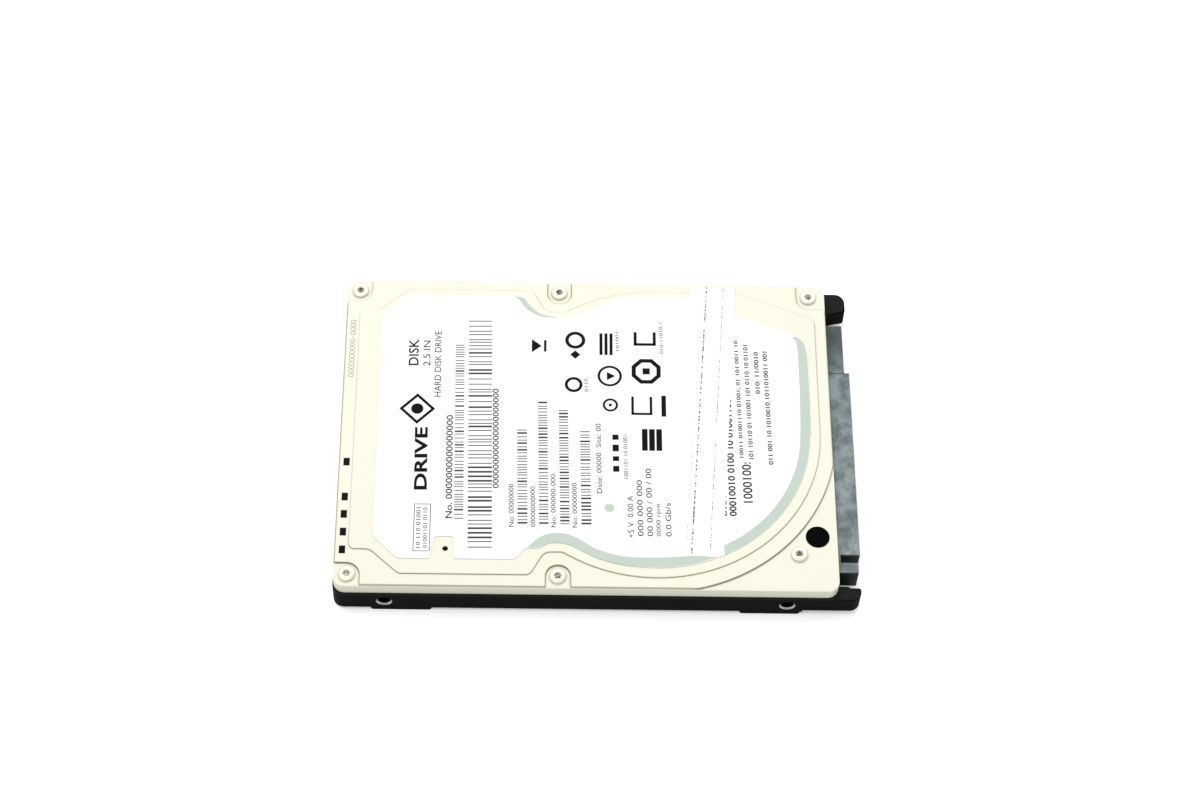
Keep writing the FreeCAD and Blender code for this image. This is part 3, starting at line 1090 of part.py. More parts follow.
def connectors():
    """Serial ATA connector with two tongues, and the jumper header beside it."""
    plug = new_body("sata_connector")
    step, rear, face = "plug_step", "plug_rear", "plug_face"
    pad(plug, draw_box("plug_back", "plug_left", rear, "plug_right"), "tongue_low", "rim_top - 0.1")
    pad(plug, draw_box(step, "plug_left", face, "plug_right"), "plug_top - plug_wall", "plug_top")
    pad(plug, draw_box(step, "plug_left", rear, "plug_right"), "tongue_low", "plug_top")
    for low, high in (("plug_left", "plug_left + plug_wall"), ("plug_right - plug_wall", "plug_right")):
        pad(plug, draw_box(step, low, face, high), "board_low", "plug_top")
    signal_high = size.plug_centre + (size.power_width + size.tongue_gap + size.signal_width) / 2
    signal_low = signal_high - size.signal_width
    power_high = signal_low - size.tongue_gap
    power_low = power_high - size.power_width
    for low, high in ((power_low, power_high), (signal_low, signal_high)):
        tongue = draw_box("plug_rear - 0.2", low, "tongue_face", high)
        pad(plug, tongue, "tongue_low", "tongue_low + tongue_gauge")
        key = draw_box("plug_rear - 0.2", high - 1.0, "tongue_face", high)
        pad(plug, key, "tongue_low - 0.9", "tongue_low + 0.1")
    # Guide post at the near end, past a narrow slot
    pad(plug, draw_box("plug_step", -29.4, "plug_face - 0.4", -27.3), "board_top", "plug_top - 0.1")
    pad(plug, draw_box("plug_step", -29.4, "plug_rear", "plug_left + 0.2"), "tongue_low", "plug_top - 0.1")
    keep(plug)
    contact = new_body("sata_contact")
    pad(contact, draw_box("plug_back + 0.05", "-contact_width / 2", "contact_face", "contact_width / 2"),
        "tongue_low - contact_gauge", "tongue_low")
    pad(contact, draw_box("plug_back + 0.05", "-contact_width / 2", "plug_back + 0.2", "contact_width / 2"),
        "board_top", "tongue_low")
    pitch = size.contact_pitch
    power = [(power_low + power_high - 1.0) / 2 + pitch * (n - (size.power_contacts - 1) / 2)
             for n in range(int(size.power_contacts))]
    signal = [(signal_low + signal_high - 1.0) / 2 + pitch * (n - (size.signal_contacts - 1) / 2)
              for n in range(int(size.signal_contacts))]
    group("sata_contacts", contact, [(0, y, 0, 0) for y in power + signal])

    header = new_body("jumper_header")
    under = "jumper_pin_low + jumper_pin"
    pad(header, draw_box("plug_back", "jumper_low", "plug_rear", "jumper_high"), under, "rim_top - 0.1")
    pad(header, draw_box("plug_step", "jumper_low", "plug_rear", "jumper_high"), under, "jumper_top")
    roof = draw_box("plug_step", "jumper_low", "jumper_face", "jumper_high")
    pad(header, roof, "jumper_top - plug_wall", "jumper_top")
    for low, high in (("jumper_low", "jumper_low + plug_wall"), ("jumper_high - plug_wall", "jumper_high")):
        pad(header, draw_box("plug_step", low, "jumper_face", high), "board_low", "jumper_top")
    keep(header)
    pin = new_body("jumper_pin")
    pad(pin, draw_box("plug_back + 0.05", "-jumper_pin / 2", "jumper_face - 0.3", "jumper_pin / 2"),
        "jumper_pin_low", "jumper_pin_low + jumper_pin")
    pad(pin, draw_box("plug_back + 0.05", "-jumper_pin / 2", "plug_back + 0.55", "jumper_pin / 2"),
        "board_top", "jumper_pin_low + jumper_pin")
    middle = (size.jumper_low + size.jumper_high) / 2
    group("jumper_pins", pin, [(0, middle + size.jumper_pitch * (n - 1.5), 0, 0) for n in range(4)])


base_casting()
top_cover()
cover_gasket()
cover_screws()
foils()
filters()
spindle_motor()
actuator()
voice_coil_motor()
ramp()
latch()
flex()
circuit_board()
connectors()

doc.recompute()
for thing in doc.Objects:
    if "Invalid" in thing.State or "Error" in thing.State:
        raise RuntimeError(f"{thing.Label} failed: {thing.State}")
for node in nodes:
    if node.Shape.isNull() or not node.Shape.isValid():
        raise RuntimeError(f"{node.Label} has no valid shape")
os.makedirs("parts", exist_ok=True)
for node in nodes:
    node.Shape.exportStep(f"parts/{node.Label}.step")
    print(node.Label, len(node.Shape.Solids), round(node.Shape.Volume, 2))
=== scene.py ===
import functools
import math
import bmesh
import bpy
import numpy as np
from mathutils import Matrix, Vector


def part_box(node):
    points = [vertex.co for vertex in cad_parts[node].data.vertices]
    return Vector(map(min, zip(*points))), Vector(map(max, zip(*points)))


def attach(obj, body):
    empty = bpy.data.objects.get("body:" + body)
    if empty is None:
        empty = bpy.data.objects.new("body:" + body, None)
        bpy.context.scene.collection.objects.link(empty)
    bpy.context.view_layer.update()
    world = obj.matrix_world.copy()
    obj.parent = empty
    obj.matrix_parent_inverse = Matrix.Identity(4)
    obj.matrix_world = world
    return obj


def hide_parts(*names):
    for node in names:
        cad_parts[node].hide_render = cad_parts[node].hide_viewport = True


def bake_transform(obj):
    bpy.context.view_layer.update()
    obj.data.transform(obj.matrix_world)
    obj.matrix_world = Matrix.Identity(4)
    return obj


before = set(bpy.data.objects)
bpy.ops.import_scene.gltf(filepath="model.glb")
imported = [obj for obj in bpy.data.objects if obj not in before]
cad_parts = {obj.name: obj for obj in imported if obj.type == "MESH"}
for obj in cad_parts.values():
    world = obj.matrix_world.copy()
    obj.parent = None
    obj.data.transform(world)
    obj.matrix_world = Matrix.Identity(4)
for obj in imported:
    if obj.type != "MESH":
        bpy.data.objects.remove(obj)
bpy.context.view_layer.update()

MM = 0.001

# ------------------------------------------------------------------------------
# Viewpoint, table top and light: a white sweep under two large soft boxes, seen from the front,
# 58 degrees above the table, with a short telephoto lens. Nothing here is part of the drive.
CAMERA_PLACE = (-14.359, -277.449, 469.215)
CAMERA_AZIMUTH, CAMERA_ELEVATION, CAMERA_ROLL = -2.553, 58.124, 2.934
IMAGE_WIDTH = 1200
WHITE = (1.0, 1.0, 1.0, 1.0)
SWEEP_REACH, SWEEP_LINES, SWEEP_HEIGHT = 2500, 41, -0.02

camera_data = bpy.data.cameras.new("camera")
camera_data.lens = 82.8
camera_data.sensor_width = 36.0
camera_data.shift_x = 10.69 / IMAGE_WIDTH
camera_data.shift_y = -6.49 / IMAGE_WIDTH
camera = bpy.data.objects.new("camera", camera_data)
azimuth, elevation = math.radians(CAMERA_AZIMUTH), math.radians(CAMERA_ELEVATION)
roll = math.radians(CAMERA_ROLL)
back = Vector((math.sin(azimuth) * math.cos(elevation), -math.cos(azimuth) * math.cos(elevation),
               math.sin(elevation)))
level = Vector((math.cos(azimuth), math.sin(azimuth), 0.0))
lift = back.cross(level)
right = level * math.cos(roll) + lift * math.sin(roll)
upward = lift * math.cos(roll) - level * math.sin(roll)
turn = Matrix((right, upward, back)).transposed().to_4x4()
camera.matrix_world = Matrix.Translation(Vector(CAMERA_PLACE) * MM) @ turn
bpy.context.scene.collection.objects.link(camera)
bpy.context.scene.camera = camera

world = bpy.data.worlds.new("studio")
world.use_nodes = True
world.node_tree.nodes["Background"].inputs["Color"].default_value = WHITE
world.node_tree.nodes["Background"].inputs["Strength"].default_value = 0.66
bpy.context.scene.world = world
bpy.context.scene.view_settings.view_transform = "Standard"


def soft_box(name, place, size, power):
    """A rectangular area light that faces the drive's middle, with place and size in metres."""
    data = bpy.data.lights.new(name, "AREA")
    data.shape = "RECTANGLE"
    data.size, data.size_y = size
    data.energy = power
    lamp = bpy.data.objects.new(name, data)
    lamp.matrix_world = (Matrix.Translation(Vector(place))
                         @ Vector(place).to_track_quat("Z", "Y").to_matrix().to_4x4())
    bpy.context.scene.collection.objects.link(lamp)


soft_box("back_soft_box", place=(0.10, 0.75, 0.85), size=(0.9, 0.6), power=5.8)
soft_box("top_soft_box", place=(-0.35, -0.05, 1.10), size=(0.8, 0.8), power=5.4)


def grid_faces(rows, columns, closed=False):
    """Quads of a grid of rows by columns points, wrapped round along the columns where closed:
    point (row, column) joins (row, column + 1), (row + 1, column + 1) and (row + 1, column)."""
    row = np.arange(rows - 1)[:, None]
    column = np.arange(columns if closed else columns - 1)[None, :]
    ahead = (column + 1) % columns
    corners = (row * columns + column, row * columns + ahead,
               (row + 1) * columns + ahead, (row + 1) * columns + column)
    shape = (rows - 1, column.size)
    return np.stack([np.broadcast_to(c, shape) for c in corners], axis=-1).reshape(-1, 4)


def new_piece(name, points, faces, smooth=True, weld=False):
    """A mesh object from points in millimetres and faces of equal sides, as whole arrays. Welding
    closes the poles, where a whole ring of points falls on the axis."""
    mesh = bpy.data.meshes.new(name)
    points = np.asarray(points, dtype=float).reshape(-1, 3) * MM
    faces = np.asarray(faces, dtype=int)
    mesh.from_pydata(points.tolist(), [], faces.tolist())
    if weld:
        loose = bmesh.new()
        loose.from_mesh(mesh)
        bmesh.ops.remove_doubles(loose, verts=loose.verts, dist=0.0005 * MM)
        loose.to_mesh(mesh)
        loose.free()
    mesh.polygons.foreach_set("use_smooth", np.full(len(mesh.polygons), smooth))
    mesh.update()
    piece = bpy.data.objects.new(name, mesh)
    bpy.context.scene.collection.objects.link(piece)
    return piece


class Value:
    """A shader socket that can stand in a sum: each operator adds the Math node that it needs."""

    def __init__(self, finish, socket):
        self.finish = finish
        self.socket = socket

    def math(self, operation, *terms):
        """A Math node of this operation on one or two terms, each a value or a plain number."""
        settings = {"operation": operation}
        return self.finish.node("ShaderNodeMath", settings, dict(enumerate(terms)), 0)

    def __add__(self, other):
        return self.math("ADD", self, other)

    def __radd__(self, other):
        return self.math("ADD", other, self)

    def __sub__(self, other):
        return self.math("SUBTRACT", self, other)

    def __rsub__(self, other):
        return self.math("SUBTRACT", other, self)

    def __mul__(self, other):
        return self.math("MULTIPLY", self, other)

    def __rmul__(self, other):
        return self.math("MULTIPLY", other, self)

    def __pow__(self, other):
        return self.math("POWER", self, other)

    def __lt__(self, other):
        return self.math("LESS_THAN", self, other)

    def __gt__(self, other):
        return self.math("GREATER_THAN", self, other)

    def __abs__(self):
        return self.math("ABSOLUTE", self)

    def sine(self):
        return self.math("SINE", self)

    def root(self):
        return self.math("SQRT", self)

    def least(self, other):
        return self.math("MINIMUM", self, other)

    def most(self, other):
        return self.math("MAXIMUM", self, other)

    def step(self, low, high):
        """0 below low, 1 above high and a smooth rise between them."""
        limits = {"Value": self, "From Min": low, "From Max": high}
        settings = {"interpolation_type": "SMOOTHSTEP"}
        return self.finish.node("ShaderNodeMapRange", settings, limits, "Result")

    def band(self, low, full, fall, high):
        """0 outside low and high, 1 between full and fall, and smooth flanks."""
        return self.step(low, full) * (1 - self.step(fall, high))


class Finish:
    """A procedural surface: one principled shader, its patterns in millimetres of the piece."""

    def __init__(self, name, **constants):
        self.material = bpy.data.materials.new(name)
        self.material.use_nodes = True
        self.tree = self.material.node_tree
        self.shader = self.tree.nodes["Principled BSDF"]
        for key, constant in constants.items():
            self.shader.inputs[key.replace("_", " ")].default_value = constant
        metres = self.node("ShaderNodeTexCoord", {}, {}, "Object")
        self.place = self.node("ShaderNodeVectorMath", {"operation": "SCALE"},
                               {0: metres, "Scale": 1 / MM}, 0)
        self.x, self.y, self.z = self.node("ShaderNodeSeparateXYZ", {}, {"Vector": self.place},
                                           "X", "Y", "Z")

    def node(self, kind, settings, inputs, *outputs):
        """Add a node: its settings first, then its inputs' values or links, by name or number. It
        gives the outputs that are asked for."""
        node = self.tree.nodes.new(kind)
        for key, setting in settings.items():
            setattr(node, key, setting)
        for key, entry in inputs.items():
            if isinstance(entry, Value):
                self.tree.links.new(entry.socket, node.inputs[key])
            else:
                node.inputs[key].default_value = entry
        values = [Value(self, node.outputs[key]) for key in outputs]
        return values if len(values) > 1 else values[0]

    def noise(self, grain, detail=2.0, stretch=(1.0, 1.0, 1.0), rough=0.5):
        """Cloudy noise from 0 to 1, whose features are about grain millimetres across."""
        scale = tuple(1 / (grain * longer) for longer in stretch)
        place = self.node("ShaderNodeVectorMath", {"operation": "MULTIPLY"},
                          {0: self.place, 1: scale}, 0)
        return self.node("ShaderNodeTexNoise", {}, {"Vector": place, "Scale": 1.0,
                                                    "Detail": detail, "Roughness": rough}, "Fac")

    def around(self, x, y):
        """Distance from an upright axis, in millimetres."""
        return apart(self.x - x, self.y - y)

    def blend(self, amount, low, high):
        """The colour low where amount is 0 and high where it is 1; either may be a pattern."""
        low, high = (c if isinstance(c, Value) else (*c, 1.0) for c in (low, high))
        return self.node("ShaderNodeMix", {"data_type": "RGBA"}, {0: amount, 6: low, 7: high}, 2)

    def drive(self, **patterns):
        """Link patterns to the shader's own sockets."""
        for key, pattern in patterns.items():
            self.tree.links.new(pattern.socket, self.shader.inputs[key.replace("_", " ")])

    def bump(self, height, depth, strength):
        """Relief of depth millimetres where height goes from 0 to 1; it completes the finish."""
        relief = {"Height": height, "Strength": strength, "Distance": depth * MM}
        self.drive(Normal=self.node("ShaderNodeBump", {}, relief, "Normal"))
        return self


def apart(across, along):
    """Distance of two places that differ by these two values: the root of their squares' sum."""
    return (across ** 2 + along ** 2).root()


def coat(finish, *pieces):
    """Give CAD nodes, by name, or a new piece this finish."""
    for piece in pieces:
        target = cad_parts[piece] if isinstance(piece, str) else piece
        if target.data.materials:
            for index in range(len(target.data.materials)):
                target.data.materials[index] = finish.material
        else:
            target.data.materials.append(finish.material)


def white_sweep():
    """Matt white paper, faintly clouded and toothed, with a little light of its own."""
    finish = Finish("white_sweep", Roughness=0.75, Emission_Color=WHITE, Emission_Strength=0.3)
    paper = finish.blend(finish.noise(90.0), (0.955, 0.96, 0.96), (0.975, 0.975, 0.975))
    finish.drive(Base_Color=paper)
    return finish.bump(finish.noise(0.8), 0.02, 0.3)


sweep_line = np.linspace(-SWEEP_REACH, SWEEP_REACH, SWEEP_LINES)
sweep_x, sweep_y = np.meshgrid(sweep_line, sweep_line)
sweep_points = np.stack([sweep_x, sweep_y, np.full_like(sweep_x, SWEEP_HEIGHT)], axis=-1)
floor = new_piece("floor", sweep_points, grid_faces(SWEEP_LINES, SWEEP_LINES))
coat(white_sweep(), floor)

# ------------------------------------------------------------------------------
# Base: a die-cast aluminium tray under a thin black coating. The side holes' mouths and the feet
# are machined after coating, so bare metal shows there.
LENGTH, WIDTH = 100.35, 69.85
HOLE_X = (LENGTH / 2 - 14.0 - 76.6, LENGTH / 2 - 14.0)
HOLE_HEIGHT, MOUTH_RADIUS = 3.0, 1.5
UPPER_FACES = 5.7


def black_casting():
    """Black coat with the casting's skin under it, scuffed, with a painted grey sheen on the upper
    faces, and bare metal with fine tool marks round the side holes and under the feet."""
    finish = Finish("black_casting", Specular_IOR_Level=0.02)
    skin = finish.noise(0.35, 3.0)
    cloud = finish.noise(7.0, 3.0)
    scuff = finish.noise(1.4, 6.0, rough=0.7).step(0.66, 0.74)
    side = abs(finish.y).step(WIDTH / 2 - 0.5, WIDTH / 2 - 0.44)
    from_hole = functools.reduce(Value.least, [
        apart(finish.x - x, finish.z - HOLE_HEIGHT) for x in HOLE_X])
    mouths = 1 - from_hole.step(MOUTH_RADIUS, MOUTH_RADIUS + 0.06)
    feet = 1 - finish.z.step(0.01, 0.05)
    bare = (mouths * side).most(feet)
    tool = finish.noise(0.12, 1.0, stretch=(1.0, 12.0, 12.0))
    coated = finish.blend(cloud, (0.0016, 0.0019, 0.0017), (0.0045, 0.0050, 0.0047))
    # Painted sheen: the upper faces are painted greyer, as the light from above shows them.
    upper = finish.z.step(UPPER_FACES, UPPER_FACES + 0.08)
    coated = finish.blend(upper * 0.6, coated, (0.022, 0.023, 0.023))
    coated = finish.blend(scuff * 0.3, coated, (0.022, 0.022, 0.021))
    metal = finish.blend(tool, (0.22, 0.22, 0.21), (0.62, 0.61, 0.60))
    finish.drive(Base_Color=finish.blend(bare, coated, metal), Metallic=bare,
                 Roughness=0.46 + 0.16 * skin + 0.12 * cloud - 0.2 * bare)
    return finish.bump(skin * (1 - bare) + 0.3 * tool * bare, 0.03, 0.45)


coat(black_casting(), "base_casting")

# ------------------------------------------------------------------------------
# Top cover: a pressed sheet tray with a pale satin coat, held down by six screws in low pads. Its
# cut edge is darker where the coat is thin. Painted shade darkens its press lines, sides and
# shoulder.
SKIRT_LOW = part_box("top_cover")[0][2] / MM
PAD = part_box("port_seal")[0][2] / MM
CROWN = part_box("top_cover")[1][2] / MM
RIM = CROWN - 0.25


def cover_coat():
    """Pale warm coat with a fine orange-peel skin and faint handling marks. Painted shade lies in
    creases, found by ambient occlusion, and at the two bends' heights; it fades by the plain end.
    The sides and the outer shoulder are painted darker as shade too."""
    finish = Finish("pale_cover_coat", Specular_IOR_Level=0.45)
    peel = finish.noise(0.45, 2.0)
    cloud = finish.noise(14.0, 4.0)
    marks = finish.noise(2.2, 6.0, stretch=(1.0, 3.0, 1.0), rough=0.65).step(0.62, 0.72)
    hem = 1 - finish.z.step(SKIRT_LOW + 0.02, SKIRT_LOW + 0.25)
    # Painted shade: the skirt's sides are painted darker than the top of the same coat.
    skirt_shade = (1 - finish.z.step(PAD - 0.4, PAD - 0.02)) * (1 - hem)
    # Painted shade on the two bends of the press lines, found by their heights.
    upper_bend_shade = finish.z.band(RIM + 0.005, RIM + 0.03, RIM + 0.12, RIM + 0.2)
    lower_bend_shade = finish.z.band(PAD + 0.005, PAD + 0.04, PAD + 0.2, RIM - 0.06)
    # Painted shade: a dark line along the outer shoulder where the rim turns down.
    shoulder_shade = finish.z.band(RIM - 0.42, RIM - 0.30, RIM - 0.07, RIM - 0.004)
    inside = abs(finish.y) < WIDTH / 2 - 1.0
    outside = (abs(finish.y) > WIDTH / 2 - 0.8).most(finish.x < 0.9 - LENGTH / 2)
    # Painted shade: ambient occlusion finds the creases of the press lines, which are darkened
    # below.
    open_air = finish.node("ShaderNodeAmbientOcclusion", {"samples": 32, "only_local": True},
                           {"Distance": 0.85 * MM}, "AO")
    crease = 1 - open_air
    faint = 1 - 0.6 * (1 - finish.x.step(-46.0, -42.0)) * finish.y.step(-27.0, -21.0)
    base = finish.blend(cloud, (0.70, 0.69, 0.575), (0.765, 0.755, 0.64))
    base = finish.blend(marks * 0.06, base, (0.40, 0.38, 0.31))
    base = finish.blend(crease.step(0.04, 0.40) * faint * 0.8, base, (0.22, 0.18, 0.10))
    base = finish.blend(upper_bend_shade * faint * 0.6, base, (0.22, 0.185, 0.10))
    base = finish.blend(lower_bend_shade * inside * 0.6, base, (0.17, 0.145, 0.085))
    base = finish.blend(skirt_shade, base, (0.56, 0.56, 0.46))
    base = finish.blend(shoulder_shade * outside * 0.8, base, (0.33, 0.31, 0.20))
    base = finish.blend(hem * 0.5, base, (0.30, 0.27, 0.21))
    finish.drive(Base_Color=base, Roughness=0.42 + 0.14 * peel + 0.10 * marks)
    return finish.bump(peel, 0.02, 0.30)


coat(cover_coat(), "top_cover")

# ------------------------------------------------------------------------------
# Gasket: a ring of black foam rubber, stuck under the cover and squeezed on to the casting's land
# by the cover screws.


def foam_rubber():
    """Matt black rubber, pitted by its cut cells."""
    finish = Finish("foam_rubber", Roughness=0.85)
    cells = finish.noise(0.12, 2.0)
    finish.drive(Base_Color=finish.blend(cells, (0.010, 0.010, 0.011), (0.035, 0.035, 0.037)))
    return finish.bump(cells, 0.04, 0.7)


coat(foam_rubber(), "cover_gasket")

# ------------------------------------------------------------------------------
# Cover screws: cold-headed steel with a six-lobe recess, zinc plated, one in each low pad of the
# cover. Each head is a profile carried round the screw's axis.
COVER_SCREWS = [(-47.4, 32.1), (-47.4, -32.1), (-7.6, 32.2), (-7.6, -32.1), (42.4, 31.9),
                (38.3, -26.8)]
HEAD_SEAT, HEAD_HEIGHT = PAD + 0.01, 0.5
RING_STEPS, LOBES, LOBE_SWELL = 72, 6, 0.16


def lobed_heads(name, places, seat, radius, height, shank, depth, recess):
    """Screw heads on shanks: rings of points at (reach, rise). The recess rings' reach swells and
    shrinks six times round, as recess * (1 + 0.16 cos 6 angle). No two screws stand alike."""
    angle = np.linspace(0, 2 * np.pi, RING_STEPS, endpoint=False)
    lobes = recess * (1 + LOBE_SWELL * np.cos(LOBES * angle))
    even = np.ones_like(angle)
    floor_to_lip = [(0.0, -0.72), (0.72, -0.70), (0.92, -0.6), (1.0, 0.0)]
    lip_to_seat = [(recess * 1.22, 1.0), (radius * 0.80, 0.97), (radius * 0.93, 0.86),
                   (radius * 0.99, 0.66), (radius, 0.45), (radius * 0.985, 0.0), (shank, 0.0)]
    rings = [(share * lobes, height + drop * height) for share, drop in floor_to_lip]
    rings += [(reach * even, height * share) for reach, share in lip_to_seat]
    rings += [(shank * even, -depth), (0.0 * even, -depth)]
    reach = np.stack([ring for ring, _ in rings])
    rise = np.stack([up * even for _, up in rings])
    single = np.stack([reach * np.cos(angle), reach * np.sin(angle), rise], axis=-1)[::-1]
    faces = grid_faces(len(rings), angle.size, closed=True)
    points, quads = [], []
    for index, (x, y) in enumerate(places):
        spin = 0.4 + 0.9 * index
        c, s = math.cos(spin), math.sin(spin)
        turned = single @ np.array([[c, s, 0], [-s, c, 0], [0, 0, 1]])
        points.append(turned.reshape(-1, 3) + np.array([x, y, seat]))
        quads.append(faces + index * len(rings) * angle.size)
    return new_piece(name, np.concatenate(points), np.concatenate(quads), weld=True)


def plated_steel(name, places, top, low, high, metal=1.0):
    """Plated steel with turning marks round each screw's axis, and mottled painted shade in the
    recess below its top.
    """
    finish = Finish(name, Metallic=metal)
    reach = functools.reduce(Value.least, [finish.around(x, y) for x, y in places])
    rings = (reach * 42.0).sine() * 0.5 + 0.5
    mottle = finish.noise(0.5, 4.0)
    # Painted shade: the recess below the head's top is darkened, mottled a little.
    recess_shade = (1 - reach.step(0.60, 0.74)) * (1 - finish.z.step(top - 0.34, top - 0.03))
    mottled_recess_shade = recess_shade * (0.45 + 0.55 * mottle.step(0.42, 0.55))
    plate = finish.blend(mottled_recess_shade, finish.blend(mottle, low, high), (0.03, 0.027, 0.018))
    finish.drive(Base_Color=plate, Roughness=0.24 + 0.16 * mottle + 0.10 * rings)
    return finish.bump(rings * 0.5 + mottle * 0.5, 0.012, 0.5)


heads = lobed_heads("cover_screw_heads", COVER_SCREWS, seat=HEAD_SEAT, radius=1.65,
                    height=HEAD_HEIGHT, shank=0.82, depth=3.3, recess=0.66)
coat(plated_steel("plated_screw_steel", COVER_SCREWS, HEAD_SEAT + HEAD_HEIGHT,
                  (0.62, 0.61, 0.51), (0.74, 0.73, 0.62), metal=0.2), heads)
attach(heads, "housing")
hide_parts("cover_screws")

# ------------------------------------------------------------------------------
# Product label: one piece of white polyester film with a pressure-sensitive back, die cut to the
# raised middle of the cover. All its print is laid a hair turned, as the press left it.
LABEL_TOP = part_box("product_label")[1][2] / MM
PRINT_TURN = math.radians(0.9)


def label_film():
    """White film: soft sheen, fibrous mottle and faint ripples where it was smoothed down."""
    finish = Finish("white_label_film", Specular_IOR_Level=0.5)
    mottle = finish.noise(0.25, 3.0)
    cloud = finish.noise(11.0, 3.0)
    ripple = finish.noise(5.0, 2.0, stretch=(1.0, 4.0, 1.0))
    face = finish.blend(cloud, (0.765, 0.77, 0.75), (0.785, 0.79, 0.775))
    # Painted shade: the film's cut edge is painted grey, so it shows as a thin dark line.
    cut_edge = 1 - finish.z.step(LABEL_TOP - 0.02, LABEL_TOP - 0.005)
    finish.drive(Base_Color=finish.blend(cut_edge, face, (0.30, 0.30, 0.28)),
                 Roughness=0.34 + 0.08 * mottle + 0.06 * cloud)
    return finish.bump(0.15 * mottle + ripple, 0.03, 0.35)


coat(label_film(), "product_label")

# ------------------------------------------------------------------------------
# Label's edge band: a pale green tint printed first, along the film's cut edge and in one dot.
# Each stretch of it lies between an outer and an inner line.
TINT_RISE = 0.004


def ink(name, colour, pale, rough=0.42):
    """Printed ink, a little uneven, as a thermal ribbon leaves it."""
    finish = Finish(name, Specular_IOR_Level=0.05)
    speckle = finish.noise(0.10, 3.0)
    finish.drive(Base_Color=finish.blend(speckle.step(0.55, 0.8), colour, pale),
                 Roughness=rough + 0.12 * speckle)
    return finish.bump(speckle, 0.004, 0.4)


def print_on(name, points, faces, finish, slot):
    """A printed piece: flat faces given a film's thickness downwards, fixed to the housing."""
    piece = new_piece(name, points, faces, smooth=False)
    film = piece.modifiers.new("ink_film", "SOLIDIFY")
    film.thickness = 0.003 * MM
    film.offset = -1.0
    coat(finish, piece)
    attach(piece, "housing")


def flat_quads(name, quads, height, finish, slot):
    """Quads given as (count, 4, 2) corners in the plane, turned to face up, laid at one height.
    Twice a quad's area is the cross product of its two diagonals."""
    quads = np.asarray(quads, dtype=float)
    first, second = quads[:, 2] - quads[:, 0], quads[:, 3] - quads[:, 1]
    faces_down = first[:, 0] * second[:, 1] - first[:, 1] * second[:, 0] < 0
    quads = np.where(faces_down[:, None, None], quads[:, ::-1], quads)
    points = np.concatenate([quads, np.full((*quads.shape[:2], 1), height)], axis=-1)
    faces = np.arange(len(quads) * 4).reshape(-1, 4)
    print_on(name, points, faces, finish, slot)


def ring_quads(x, y, inner, outer, start=0.0, end=360.0, steps=48):
    """A flat ring or part of one: reach across from inner to outer, angle along in degrees."""
    angle = np.radians(np.linspace(start, end, steps + 1))
    around = np.stack([np.cos(angle), np.sin(angle)], axis=-1)
    near, far = around * inner, around * outer
    quads = np.stack([near[:-1], far[:-1], far[1:], near[1:]], axis=1)
    return quads + np.array([x, y])


def band_between(outer, inner):
    """Quads between two lines of equal numbers of points: length along, line across."""
    outer, inner = np.asarray(outer), np.asarray(inner)
    return np.stack([inner[:-1], outer[:-1], outer[1:], inner[1:]], axis=1)


def arc_points(x, y, reach, start, end, steps):
    """Points at one reach from a centre, at even angles in degrees."""
    angle = np.radians(np.linspace(start, end, steps))
    return np.stack([x + reach * np.cos(angle), y + reach * np.sin(angle)], axis=-1)


def smooth_line(points, steps):
    """A Catmull-Rom line through points: each stretch is a cubic in its own parameter, whose slope
    at a point is half the way from the point before to the point after."""
    points = np.asarray(points, dtype=float)
    before, after = 2 * points[:1] - points[1:2], 2 * points[-1:] - points[-2:-1]
    padded = np.concatenate([before, points, after])
    t = np.linspace(0, 1, steps, endpoint=False)[:, None]
    a, b, c, d = padded[:-3, None], padded[1:-2, None], padded[2:-1, None], padded[3:, None]
    line = 0.5 * (2 * b + (c - a) * t + (2 * a - 5 * b + 4 * c - d) * t ** 2
                  + (3 * b - a - 3 * c + d) * t ** 3)
    return np.concatenate([line.reshape(-1, 2), points[-1:]])


disc_side = band_between(
    np.concatenate([[(39.7, 22.1), (41.1, 20.8), (41.6, 18.0), (41.7, 9.0), (41.65, 1.5)],
                    arc_points(11, 0, 30.35, -4, -64.5, 40)]),
    np.concatenate([[(38.9, 22.0), (39.6, 20.6), (39.8, 18.0), (39.8, 9.0), (39.6, 1.5)],
                    arc_points(11, 0, 28.5, -4, -63.0, 40)]))
near_side = band_between(
    smooth_line([(-13.6, -26.4), (-11.2, -26.3), (-9.2, -25.3), (-7.5, -25.25), (-5.6, -25.6),
                 (-3.6, -26.6), (0.0, -28.5), (5.0, -29.9), (11.0, -30.3), (14.6, -30.1),
                 (18.6, -29.3), (22.6, -27.95)], 6),
    smooth_line([(-13.3, -26.2), (-11.2, -24.1), (-9.2, -23.3), (-7.4, -23.1), (-5.4, -23.5),
                 (-3.4, -24.5), (0.0, -26.6), (5.0, -28.0), (11.0, -28.2), (14.5, -28.0),
                 (18.6, -27.7), (22.5, -27.9)], 6))
far_lip = band_between(
    smooth_line([(-16.4, 30.9), (-14.9, 30.6), (-13.9, 29.4), (-12.8, 28.0), (-11.0, 26.6),
                 (-8.0, 26.0)], 6),
    smooth_line([(-16.6, 30.9), (-15.6, 30.0), (-14.7, 28.6), (-13.4, 27.3), (-11.2, 26.1),
                 (-8.2, 25.9)], 6))
dot = ring_quads(2.2, -17.5, 0.0, 0.95)
tint = ink("pale_green_tint", (0.475, 0.545, 0.49), (0.52, 0.585, 0.535), 0.40)
flat_quads("label_edge_band", np.concatenate([disc_side, near_side[:, ::-1], far_lip, dot]),
           LABEL_TOP + TINT_RISE, tint, "label_film")

# ------------------------------------------------------------------------------
# Label's bar codes: brown-black bars from a thermal ribbon, stacked along the drive's width. They
# come from a seeded shuffle and stand for no number.
BAR_RISE = 0.006
shuffle = np.random.default_rng(25)


